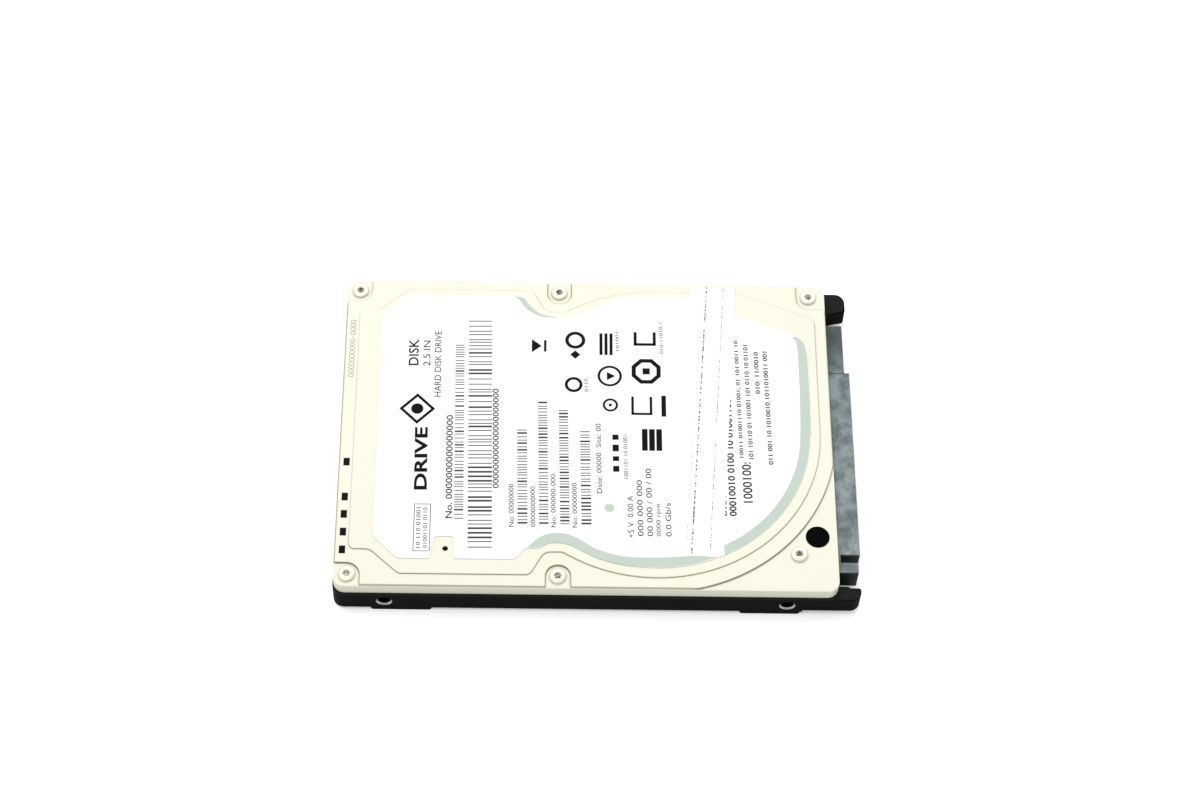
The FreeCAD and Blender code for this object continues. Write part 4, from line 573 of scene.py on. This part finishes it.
def turned_about(points, centre, angle):
    """Points turned about a centre in the label's plane."""
    c, s = math.cos(angle), math.sin(angle)
    return (points - centre) @ np.array([[c, s], [-s, c]]) + centre


def rectangles(x_low, x_high, y_low, y_high):
    """Corners of rectangles from arrays of their limits."""
    x_low, x_high, y_low, y_high = np.broadcast_arrays(x_low, x_high, y_low, y_high)
    corners = [(x_low, y_low), (x_high, y_low), (x_high, y_high), (x_low, y_high)]
    quads = np.stack([np.stack(corner, axis=-1) for corner in corners], axis=-2)
    return quads.astype(float).reshape(-1, 4, 2)


def stacked_bars(x_low, x_high, y_low, y_high, lengths, gaps):
    """Bars across x, laid one after another along y with their lengths and the gaps after them,
    as far as the upper limit, and turned with the print."""
    starts = y_low + np.concatenate([[0.0], np.cumsum(lengths + gaps)[:-1]])
    keep = starts + lengths < y_high
    quads = rectangles(x_low, x_high, starts[keep], (starts + lengths)[keep])
    centre = np.array([(x_low + x_high) / 2, (y_low + y_high) / 2])
    return turned_about(quads, centre, PRINT_TURN)


def bar_code(x_low, x_high, y_low, y_high, module, gaps):
    """Bars of one or two modules, with gaps of so many modules drawn from a list."""
    count = int((y_high - y_low) / module / 2.0)
    lengths, spaces = np.stack([shuffle.choice([1, 1, 1, 2], size=count),
                                shuffle.choice(gaps, size=count)]) * module
    return stacked_bars(x_low, x_high, y_low, y_high, lengths, spaces)


code_ink = ink("brown_black_ribbon_ink", (0.045, 0.036, 0.036), (0.09, 0.075, 0.075))
codes = [
    bar_code(-27.75, -26.0, -20.3, 19.3, 0.18, (2, 2, 3, 4)),
    bar_code(-25.15, -20.55, -26.5, 25.6, 0.2, (2, 3, 3, 5)),
    bar_code(-15.5, -13.6, -21.2, 0.1, 0.19, (2, 2, 3)),
    bar_code(-11.45, -9.65, -21.2, 6.6, 0.19, (2, 2, 3)),
    bar_code(-7.4, -5.6, -21.2, 4.6, 0.19, (2, 2, 3)),
    bar_code(-3.3, -1.4, -21.2, 0.2, 0.19, (2, 2, 3)),
]
flat_quads("label_bar_codes", np.concatenate(codes), LABEL_TOP + BAR_RISE, code_ink, "label_film")

# ------------------------------------------------------------------------------
# Label's lettering: black ribbon ink, in plain words, noughts and ones. Each line of type is made
# as text, turned into triangles, and fitted to its box.
WORD_RISE = 0.007
LEAST_AREA = 1e-8
WORDS = [  # what it says, its box as x_low, x_high, y_low, y_high, and the extra weight of a stroke
    ("DRIVE", -35.4, -32.9, -14.0, 0.0, 0.03),
    ("DISK", -37.3, -35.3, 14.2, 20.3, 0.012),
    ("2.5 IN", -34.4, -33.0, 14.1, 20.0, 0.0),
    ("HARD DISK DRIVE", -32.1, -30.8, 7.0, 22.3, 0.0),
    ("No. 0000000000000000", -29.3, -28.0, -20.2, 2.8, 0.008),
    ("000000000000000000000", -20.4, -19.2, -13.5, 9.0, 0.008),
    ("No: 00000000", -17.1, -16.1, -21.9, -12.5, 0.0),
    ("00000000000", -12.9, -12.0, -21.9, -13.0, 0.0),
    ("No: 000000-000", -9.0, -8.1, -21.9, -10.2, 0.0),
    ("No: 00000000", -4.9, -4.0, -21.9, -12.1, 0.0),
    ("Date: 00000  Site: 00", -0.3, 0.7, -14.3, 1.3, 0.0),
    ("+5 V  0.00 A", 5.7, 6.8, -24.0, -14.8, 0.0),
    ("000 000 000", 7.5, 8.6, -23.6, -11.3, 0.0),
    ("00 000 / 00 / 00", 9.3, 10.4, -23.6, -8.7, 0.0),
    ("0000 rpm", 11.1, 12.2, -23.6, -16.5, 0.0),
    ("0.0 Gb/s", 12.9, 14.0, -23.6, -16.3, 0.0),
    ("01011", 23.9, 24.7, -19.0, -13.4, 0.02),
    ("00010010 0100 10 01001100", 25.0, 26.4, -19.0, 7.4, 0.02),
    ("1000100:", 27.9, 29.7, -16.0, -7.0, 0.012),
    ("10011 01001110 01001, 01 101 0011 10", 27.3, 28.2, -6.0, 21.0, 0.02),
    ("101 10110 01 101001 101 0110 10 01101", 29.1, 30.0, -6.3, 20.0, 0.02),
    ("010: 11/0010", 31.0, 31.9, 8.6, 18.4, 0.02),
    ("011 001 10 1010010 1011010011 001", 32.9, 33.8, -7.5, 18.5, 0.02),
    ("10 110 01001", -34.6, -33.8, -26.7, -17.9, 0.0),
    ("01001101 0110", -33.3, -32.5, -26.7, -17.9, 0.0),
    ("1001101 10 01001", 5.0, 5.8, -11.0, -1.2, 0.0),
    ("010-11010-1", 12.3, 13.0, 17.6, 25.0, 0.0),
    ("101001", 3.6, 4.2, 18.2, 22.6, 0.0),
    ("0110", -2.6, -1.9, 8.6, 11.6, 0.0),
]


def type_triangles(text, weight):
    """Points and triangles of one line of type in its own plane, without triangles of no area:
    twice a triangle's area is the cross product of two of its sides."""
    curve = bpy.data.curves.new("word", "FONT")
    curve.body = text
    curve.offset = weight
    curve.resolution_u = 3
    word = bpy.data.objects.new("word", curve)
    bpy.context.scene.collection.objects.link(word)
    bpy.context.view_layer.update()
    mesh = word.evaluated_get(bpy.context.evaluated_depsgraph_get()).to_mesh()
    mesh.calc_loop_triangles()
    places = np.empty(len(mesh.vertices) * 3)
    mesh.vertices.foreach_get("co", places)
    places = places.reshape(-1, 3)[:, :2]
    corners = np.empty(len(mesh.loop_triangles) * 3, dtype=int)
    mesh.loop_triangles.foreach_get("vertices", corners)
    corners = corners.reshape(-1, 3)
    bpy.data.objects.remove(word)
    first = places[corners[:, 1]] - places[corners[:, 0]]
    second = places[corners[:, 2]] - places[corners[:, 0]]
    area = first[:, 0] * second[:, 1] - first[:, 1] * second[:, 0]
    return places, corners[abs(area) > LEAST_AREA]


def lettering(words):
    """All the lines of type as one mesh: each reads along +Y with its tops towards -X, because a
    point's share of its width goes to y and its share of its height goes backwards to x."""
    points, faces, count = [], [], 0
    for text, x_low, x_high, y_low, y_high, weight in words:
        places, corners = type_triangles(text, weight)
        low, high = places.min(axis=0), places.max(axis=0)
        share = (places - low) / (high - low)
        spot = np.stack([x_high - share[:, 1] * (x_high - x_low),
                         y_low + share[:, 0] * (y_high - y_low)], axis=-1)
        centre = np.array([(x_low + x_high) / 2, (y_low + y_high) / 2])
        points.append(turned_about(spot, centre, PRINT_TURN))
        faces.append(corners + count)
        count += len(places)
    points = np.concatenate(points)
    height = np.full(len(points), LABEL_TOP + WORD_RISE)
    return np.column_stack([points, height]), np.concatenate(faces)


black_ink = ink("black_ribbon_ink", (0.003, 0.003, 0.003), (0.012, 0.012, 0.012))
print_on("label_lettering", *lettering(WORDS), black_ink, "label_film")

# ------------------------------------------------------------------------------
# Label's small marks: a line of fine print shown as word bars, a ruled frame, a diamond with a dot
# for the maker, and plain rings, bars and squares for the rest, in the same black ink.


def greeked(x_low, x_high, y_low, y_high, shortest, longest, gap):
    """A line of fine print shown as bars of uneven length, one for each word."""
    lengths = shuffle.uniform(shortest, longest, size=40)
    return stacked_bars(x_low, x_high, y_low, y_high, lengths, gap)


diamond = np.array([(0.0, -1.0), (1.0, 0.0), (0.0, 1.0), (-1.0, 0.0), (0.0, -1.0)])
diamond_centre = np.array([-35.2, 4.2])
threes = np.arange(3)
marks = [
    greeked(2.9, 4.1, -9.5, -0.5, shortest=1.0, longest=1.6, gap=1.1),
    # ruled frame
    rectangles([-35.1, -32.02, -35.1, -35.1], [-34.98, -31.9, -31.9, -31.9],
               [-27.4, -27.4, -27.4, -17.22], [-17.1, -17.1, -27.28, -17.1]),
    # diamond and its dot
    band_between(diamond * 3.5 + diamond_centre, diamond * 2.7 + diamond_centre),
    ring_quads(*diamond_centre, 0.0, 1.2),
    # rings, one round a triangle, one of eight sides round a square, one round a small block
    ring_quads(-4.7, 10.2, 1.15, 1.75),
    ring_quads(2.4, 12.3, 1.9, 2.4),
    ring_quads(2.4, 12.3, 0.0, 1.1, steps=3),
    ring_quads(9.6, 13.5, 2.2, 3.1, 22.5, 382.5, 8),
    ring_quads(9.6, 13.5, 0.0, 1.0, 45, 405, 4),
    ring_quads(2.5, 5.6, 1.05, 1.5),
    ring_quads(-4.4, 20.6, 1.3, 2.0),
    ring_quads(-4.4, 17.2, 0.0, 1.0, steps=4),
    rectangles(2.2, 2.8, 5.3, 5.9),
    # bars, brackets and stripes
    rectangles(12.5, 13.4, 3.1, 7.9),
    rectangles([6.6, 6.6, 10.2], [7.1, 10.7, 10.7], [3.4, 3.4, 3.4], [7.6, 3.9, 7.6]),
    rectangles(8.6 + 1.4 * threes, 9.7 + 1.4 * threes, -4.7, 0.2),
    rectangles(0.4 + 1.0 * threes, 1.0 + 1.0 * threes, 17.2, 22.3),
    rectangles([7.2, 7.2, 11.0], [11.6, 7.8, 11.6], [19.5, 19.5, 19.5], [20.1, 22.7, 22.7]),
    # triangle and bar
    np.array([[(-13.0, 17.6), (-11.1, 19.1), (-11.1, 19.2), (-13.0, 20.7)]]),
    rectangles(-10.6, -10.1, 17.8, 20.5),
]
flat_quads("label_pictograms", np.concatenate(marks), LABEL_TOP + BAR_RISE, black_ink, "label_film")

# ------------------------------------------------------------------------------
# Seals: a thin white tamper strip that crosses the label and runs down on to the cover's rim, and
# a black foil disc over the servo port. Both are stuck down with their own adhesive.


def strip_film():
    """White film with soft creases. Faint dots run down it in two broken lines, and a fainter one
    beside the first: each line is where x less its slope times y is near its place."""
    finish = Finish("white_strip_film", Specular_IOR_Level=0.5)

    def line(place, slope, half, edge):
        """1 within half of the line and 0 beyond edge."""
        return 1 - abs(finish.x - place - finish.y * slope).step(half, edge)

    mottle = finish.noise(0.4, 3.0)
    crease = finish.noise(9.0, 2.0, stretch=(3.0, 1.0, 1.0))
    dashes = finish.noise(0.45, 1.0, stretch=(3.0, 1.0, 1.0)).step(0.49, 0.53)
    faint = finish.noise(5.0, 1.0).step(0.35, 0.6)
    first = line(19.65, 0.0697, 0.10, 0.18)
    beside = line(18.7, 0.075, 0.05, 0.12) * faint * 0.5
    second = line(23.1, 0.0675, 0.06, 0.13) * (1 - finish.y.band(-3.0, -2.8, 2.0, 2.2)) * 0.8
    film = finish.blend(mottle, (0.79, 0.79, 0.79), (0.81, 0.81, 0.81))
    marked = first.most(second).most(beside) * dashes
    finish.drive(Base_Color=finish.blend(marked, film, (0.06, 0.06, 0.065)),
                 Roughness=0.40 + 0.1 * mottle)
    return finish.bump(crease + 0.1 * mottle, 0.03, 0.3)


def black_foil():
    """Deep black lacquer on foil, with a fine grain."""
    finish = Finish("black_foil", Specular_IOR_Level=0.02)
    grain = finish.noise(0.2, 3.0)
    lacquer = finish.blend(grain, (0.0005, 0.0005, 0.0005), (0.002, 0.002, 0.002))
    finish.drive(Base_Color=lacquer, Roughness=0.5 + 0.2 * grain)
    return finish.bump(grain, 0.01, 0.4)


coat(strip_film(), "tamper_seal")
coat(black_foil(), "port_seal")

# ------------------------------------------------------------------------------
# Marks on the cover's plain end: a code peened into the coat as rows of small dots, all noughts
# but for one dash, and five blocks of black ink stamped beside it.
NOUGHT = [(0, 1), (0, 2), (0, 3), (1, 0), (1, 4), (2, 0), (2, 4), (3, 0), (3, 4), (4, 0), (4, 4),
          (5, 0), (5, 4), (6, 1), (6, 2), (6, 3)]
DASH = [(3, 1), (3, 2), (3, 3)]
SIGNS, DASH_PLACE, SIGN_STEP = 15, 10, 0.9
DOT_STEP, DOT_HALF = 0.155, 0.062
CODE_X, CODE_Y = -48.95, 11.6
BLOCK_Y, BLOCK_HALF = np.array([-7.8, -15.55, -19.35, -23.2, -27.05]), 0.85

spots = []
for index in range(SIGNS):
    cells = np.array(DASH if index == DASH_PLACE else NOUGHT, dtype=float)
    spots.append(np.stack([CODE_X + cells[:, 0] * DOT_STEP,
                           CODE_Y + index * SIGN_STEP + cells[:, 1] * DOT_STEP], axis=-1))
spot_x, spot_y = np.concatenate(spots).T
dots = rectangles(spot_x - DOT_HALF, spot_x + DOT_HALF, spot_y - DOT_HALF, spot_y + DOT_HALF)
peened = ink("peened_dots", (0.14, 0.12, 0.075), (0.24, 0.21, 0.15), 0.6)
flat_quads("peened_code", dots, RIM + TINT_RISE, peened, "cover_coat")
blocks = rectangles(-49.05, -47.85, BLOCK_Y - BLOCK_HALF, BLOCK_Y + BLOCK_HALF)
flat_quads("inked_blocks", blocks, RIM + BAR_RISE, black_ink, "cover_coat")

# ------------------------------------------------------------------------------
# Connectors: the serial ATA plug and the jumper header stand at the board's edge and the head
# connector on its inner face. They are glass-filled nylon mouldings with gold-plated contacts.
JUMPER_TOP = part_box("jumper_header")[1][2] / MM
PLUG_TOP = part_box("sata_connector")[1][2] / MM
JOINT_Y = (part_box("sata_connector")[1][1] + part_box("jumper_header")[0][1]) / 2 / MM


def nylon():
    """Black nylon whose upper faces carry a painted grey reflection, in streaks and blotches,
    darker towards the far end, with a dark joint line between the plug and the header."""
    finish = Finish("black_nylon", Specular_IOR_Level=0.15)
    fibre = finish.noise(0.2, 4.0, stretch=(1.0, 3.5, 1.0), rough=0.6)
    cloud = finish.noise(2.6, 4.0)
    header_face = finish.z.band(JUMPER_TOP - 0.1, JUMPER_TOP - 0.04,
                                JUMPER_TOP + 0.01, JUMPER_TOP + 0.03)
    plug_face = finish.z.step(PLUG_TOP - 0.2, PLUG_TOP - 0.14)
    # Painted reflection: the top faces are painted grey, as the bright light above shows in them.
    blotch = (0.65 * cloud + 0.35 * fibre).step(0.34, 0.66)
    joint = 1 - abs(finish.y - JOINT_Y).step(0.14, 0.24)
    top_reflection = finish.blend(blotch, (0.105, 0.13, 0.14), (0.25, 0.30, 0.31))
    top_reflection = finish.blend(finish.y.step(11.0, 25.0) * 0.8, top_reflection, (0.035, 0.042, 0.045))
    top_reflection = finish.blend(joint, top_reflection, (0.006, 0.007, 0.008))
    finish.drive(Base_Color=finish.blend(header_face + plug_face, (0.006, 0.007, 0.008), top_reflection),
                 Roughness=0.45 + 0.2 * fibre)
    return finish.bump(fibre, 0.01, 0.5)


def gold_plate():
    """Thin gold over nickel, wiped along X by plugging in."""
    finish = Finish("gold_plate", Metallic=1.0)
    wear = finish.noise(0.5, 4.0, stretch=(4.0, 1.0, 1.0))
    finish.drive(Base_Color=finish.blend(wear, (0.86, 0.62, 0.26), (0.95, 0.76, 0.42)),
                 Roughness=0.18 + 0.2 * wear)
    return finish.bump(wear, 0.005, 0.4)


coat(nylon(), "sata_connector", "jumper_header", "head_connector")
coat(gold_plate(), "sata_contacts", "jumper_pins", "motor_contacts")

# ------------------------------------------------------------------------------
# Circuit board: green solder mask over copper on glass laminate, held to the casting by five
# screws. Its parts face the casting, and an insulating film lies between.
BOARD_LOW, BOARD_TOP = (corner[2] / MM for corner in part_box("circuit_board"))
BOARD_SCREWS = [(-18.2, 28.5), (-18.2, -28.5), (24.0, 29.6), (24.0, -29.6), (42.6, 3.0)]
TRACE_PITCH = 0.62
NO_RECESS = -9.0


def solder_mask():
    """Green mask: runs of copper traces as ridges under it, straight or at 45 degrees block by
    block, with tinned vias on the outer face and bare laminate at the cut edges."""
    finish = Finish("green_solder_mask", Coat_Weight=0.35, Coat_Roughness=0.2)
    weave = (finish.x * 9.0).sine() * (finish.y * 9.0).sine() * 0.5 + 0.5
    blocks = finish.node("ShaderNodeTexVoronoi", {"feature": "F1", "distance": "CHEBYCHEV"},
                         {"Vector": finish.place, "Scale": 0.14}, "Color")
    course, presence = finish.node("ShaderNodeSeparateColor", {}, {"Color": blocks},
                                   "Red", "Green")
    wave = 2 * math.pi / TRACE_PITCH
    along, across = ((axis * wave).sine().step(0.45, 0.7) for axis in (finish.x, finish.y))
    slanted = ((finish.x + finish.y) * (wave * 0.7071)).sine().step(0.45, 0.7)
    straight = along * (course < 0.5) + across * (course > 0.5)
    traces = (straight * (course < 0.78) + slanted * (course > 0.78)) * (presence > 0.25)
    from_via = finish.node("ShaderNodeTexVoronoi", {"feature": "F1"},
                           {"Vector": finish.place, "Scale": 0.36}, "Distance")
    outer_face = 1 - finish.z.step(BOARD_LOW + 0.05, BOARD_LOW + 0.10)
    vias = (1 - from_via.step(0.10, 0.13)) * outer_face
    cut_edge = finish.z.band(BOARD_LOW + 0.03, BOARD_LOW + 0.07, BOARD_TOP - 0.07, BOARD_TOP - 0.03)
    green = finish.blend(traces * 0.6, (0.010, 0.085, 0.038), (0.02, 0.15, 0.065))
    green = finish.blend(cut_edge, green, (0.20, 0.26, 0.10))
    finish.drive(Base_Color=finish.blend(vias, green, (0.72, 0.70, 0.66)), Metallic=vias,
                 Roughness=0.30 + 0.2 * weave * cut_edge + 0.1 * traces)
    return finish.bump(traces + vias * 0.5, 0.03, 0.6)


def moulded_epoxy():
    """Black epoxy with the fine grit of its mould."""
    finish = Finish("moulded_epoxy", Roughness=0.55)
    grit = finish.noise(0.08, 2.0)
    finish.drive(Base_Color=finish.blend(grit, (0.012, 0.012, 0.013), (0.035, 0.035, 0.037)))
    return finish.bump(grit, 0.01, 0.6)


def grained(name, low, high, rough, grain, metal=0.0, depth=0.01, stretch=(1.0, 1.0, 1.0)):
    """A finish whose colour, sheen and relief drift with one grain."""
    finish = Finish(name, Metallic=metal)
    drift = finish.noise(grain, 4.0, stretch=stretch)
    finish.drive(Base_Color=finish.blend(drift, low, high), Roughness=rough + 0.18 * drift)
    return finish.bump(drift, depth, 0.5)


epoxy = moulded_epoxy()
coat(solder_mask(), "circuit_board")
coat(epoxy, "controller_chip", "memory_chip", "motor_driver_chip", "flash_chip")
coat(grained("insulating_film", (0.02, 0.02, 0.022), (0.05, 0.05, 0.052), rough=0.4, grain=1.5),
     "board_insulator")
coat(grained("brown_ceramic", (0.26, 0.17, 0.10), (0.40, 0.28, 0.18), rough=0.35, grain=0.3),
     "board_passives")
coat(grained("drawn_can", (0.55, 0.54, 0.52), (0.75, 0.74, 0.71), rough=0.25, grain=0.4,
             metal=1.0), "clock_crystal", "shock_sensors")
coat(plated_steel("plated_board_screws", BOARD_SCREWS, NO_RECESS, (0.46, 0.45, 0.41),
                  (0.66, 0.65, 0.60)), "board_screws")

# ------------------------------------------------------------------------------
# Discs and spindle: two mirror-bright sputtered discs and a spacer on a turned hub, under a clamp
# with six screws. The hub's steel shaft runs in a bronze sleeve.
MOTOR = (11.0, 0.0)
CLAMP_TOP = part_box("clamp_screws")[1][2] / MM
clamp_angles = [math.radians(60 * number) for number in range(6)]
CLAMP_SCREWS = [(MOTOR[0] + 6 * math.cos(angle), MOTOR[1] + 6 * math.sin(angle))
                for angle in clamp_angles]


def turned_metal(name, x, y, low, high, rough):
    """Metal turned on a lathe: fine rings about its axis, as a sine of the distance from it."""
    finish = Finish(name, Metallic=1.0)
    rings = (finish.around(x, y) * 26.0).sine() * 0.5 + 0.5
    drift = finish.noise(1.2, 3.0)
    finish.drive(Base_Color=finish.blend(drift, low, high),
                 Roughness=rough + 0.10 * rings + 0.08 * drift)
    return finish.bump(rings, 0.004, 0.6)


def disc_mirror():
    """Sputtered disc: near-perfect mirror with a faint landing band by the clamp."""
    finish = Finish("disc_mirror", Metallic=1.0)
    landing = 1 - finish.around(*MOTOR).step(13.0, 13.6)
    haze = finish.noise(6.0, 2.0)
    finish.drive(Base_Color=finish.blend(haze, (0.60, 0.60, 0.61), (0.66, 0.66, 0.67)),
                 Roughness=0.035 + 0.10 * landing + 0.02 * haze)
    return finish.bump(haze, 0.001, 0.2)


coat(disc_mirror(), "lower_platter", "upper_platter")
coat(turned_metal("turned_aluminium", *MOTOR, (0.42, 0.42, 0.43), (0.56, 0.56, 0.57), 0.24),
     "spindle_hub", "platter_spacer", "disc_clamp")
coat(turned_metal("turned_steel", *MOTOR, (0.50, 0.50, 0.51), (0.66, 0.66, 0.67), 0.20),
     "spindle_shaft", "thrust_plate")
coat(turned_metal("turned_bronze", *MOTOR, (0.50, 0.34, 0.14), (0.66, 0.47, 0.22), 0.28),
     "bearing_sleeve")
coat(plated_steel("plated_clamp_screws", CLAMP_SCREWS, CLAMP_TOP, (0.36, 0.355, 0.33),
                  (0.54, 0.53, 0.50)), "clamp_screws")

# ------------------------------------------------------------------------------
# Motors' magnets, cores and coils: nickel-plated sintered magnets, a stack of steel laminations
# and windings of enamelled copper wire, for the spindle and for the arm.
coat(grained("nickel_plate", (0.56, 0.54, 0.50), (0.74, 0.72, 0.68), rough=0.22, grain=2.0,
             metal=1.0), "rotor_magnet", "lower_magnet", "upper_magnet")
coat(grained("laminated_steel", (0.10, 0.10, 0.105), (0.22, 0.22, 0.225), rough=0.4, grain=0.2,
             metal=1.0, depth=0.02, stretch=(6.0, 6.0, 0.25)), "stator_core")
coat(grained("enamelled_wire", (0.42, 0.17, 0.06), (0.70, 0.34, 0.14), rough=0.25, grain=0.12,
             metal=1.0, depth=0.05, stretch=(6.0, 6.0, 1.0)), "stator_coils", "voice_coil")

# ------------------------------------------------------------------------------
# Actuator: a milled aluminium arm block that swings on a steel pivot, with its coil moulded in at
# one end, and spring steel suspensions with ceramic sliders at the other.
PIVOT = (-25.0, 12.0)
moulding = grained("pale_moulding", (0.50, 0.46, 0.36), (0.62, 0.58, 0.47), rough=0.42, grain=1.2)
coat(grained("milled_aluminium", (0.42, 0.42, 0.43), (0.58, 0.58, 0.59), rough=0.30, grain=0.9,
             metal=1.0, depth=0.006, stretch=(1.0, 8.0, 1.0)), "actuator_arm")
coat(turned_metal("pivot_steel", *PIVOT, (0.48, 0.48, 0.49), (0.66, 0.66, 0.67), 0.20),
     "pivot_sleeve", "pivot_shaft")
coat(grained("sheet_steel", (0.36, 0.36, 0.36), (0.50, 0.50, 0.49), rough=0.22, grain=0.8,
             metal=1.0, depth=0.004, stretch=(6.0, 1.0, 1.0)), "head_suspensions")
coat(grained("dark_ceramic", (0.03, 0.028, 0.03), (0.07, 0.065, 0.07), rough=0.15, grain=0.3),
     "head_sliders")
coat(moulding, "coil_overmould")
coat(epoxy, "preamp_chip")

# ------------------------------------------------------------------------------
# Yokes, ramp, latch and stops: plated steel plates and posts that close the magnets' field, plain
# mouldings and rubber stops, each fixed to the casting's floor by a screw, a pin or a press fit.
coat(grained("plated_yoke", (0.33, 0.325, 0.305), (0.47, 0.46, 0.44), rough=0.28, grain=3.0,
             metal=1.0), "lower_yoke", "upper_yoke", "yoke_posts", "latch_pin")
coat(moulding, "load_ramp", "actuator_latch", "flex_bracket")
coat(grained("stop_rubber", (0.012, 0.012, 0.012), (0.03, 0.03, 0.03), rough=0.7, grain=0.3),
     "crash_stops")
coat(grained("plated_inner_screws", (0.36, 0.355, 0.33), (0.54, 0.53, 0.50), rough=0.24,
             grain=0.4, metal=1.0), "yoke_screws", "ramp_screw", "bracket_screws")

# ------------------------------------------------------------------------------
# Filters: a block of white felt in the discs' air stream, and a block of felt filled with carbon
# for the breather. Both stand on the casting's floor and are held down by the cover.
coat(grained("filter_felt", (0.62, 0.61, 0.58), (0.80, 0.79, 0.77), rough=0.8, grain=0.15,
             depth=0.08), "recirculation_filter")
coat(grained("carbon_felt", (0.001, 0.001, 0.001), (0.006, 0.006, 0.006), rough=0.8, grain=0.15,
             depth=0.08), "breather_filter")

# ------------------------------------------------------------------------------
# Flex cable: a ribbon of amber polyimide over copper traces. It is clamped in the bracket's wall,
# runs free in a loose S, and lies along the arm block's lug.
RIBBON = smooth_line([(-34.94, -12.0), (-34.94, -9.0), (-34.77, -6.47), (-34.28, -3.98),
                      (-33.46, -1.57), (-32.34, 0.70), (-31.43, 2.13), (-30.63, 3.57),
                      (-30.16, 5.15), (-30.03, 6.80), (-30.26, 8.43), (-30.47, 9.31)], 8)
RIBBON_LOW, RIBBON_TOP, RIBBON_HALF = 4.4, 7.4, 0.055
RING_POINTS = 8


def ribbon(line, low, top, half):
    """A rounded strip on edge: at each point of the line, a ring of eight points (across, height),
    across along the line's left normal; the two ends are closed by their own rings of faces."""
    ahead = np.gradient(line, axis=0)
    length = np.linalg.norm(ahead, axis=1)[:, None]
    normal = np.stack([-ahead[:, 1], ahead[:, 0]], axis=-1) / length
    across = half * np.array([-0.5, 0.5, 1.0, 1.0, 0.5, -0.5, -1.0, -1.0])
    height = np.array([low, low, low + half, top - half, top, top, top - half, low + half])
    sides = line[:, None] + normal[:, None] * across[None, :, None]
    heights = np.broadcast_to(height[None, :, None], (*sides.shape[:2], 1))
    wall = grid_faces(len(line), RING_POINTS, closed=True)
    cap = np.array([(0, 1, 2, 7), (7, 2, 3, 6), (6, 3, 4, 5)])
    last = RING_POINTS * (len(line) - 1)
    return (np.concatenate([sides, heights], axis=-1),
            np.concatenate([wall, cap[:, ::-1], cap + last]))


def amber_film():
    """Glossy amber film, with copper traces showing as darker lines down its length."""
    finish = Finish("amber_film", Coat_Weight=0.3, Coat_Roughness=0.12)
    trace = (finish.z * 15.7).sine().step(-0.2, 0.4)
    drift = finish.noise(0.8, 3.0)
    film = finish.blend(drift, (0.46, 0.16, 0.02), (0.62, 0.27, 0.05))
    finish.drive(Base_Color=finish.blend(trace * 0.6, film, (0.22, 0.065, 0.01)),
                 Roughness=0.24 + 0.12 * drift)
    return finish.bump(trace, 0.006, 0.5)


flex = new_piece("flex_ribbon", *ribbon(RIBBON, RIBBON_LOW, RIBBON_TOP, RIBBON_HALF))
coat(amber_film(), flex)
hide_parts("flex_cable")
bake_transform(flex)
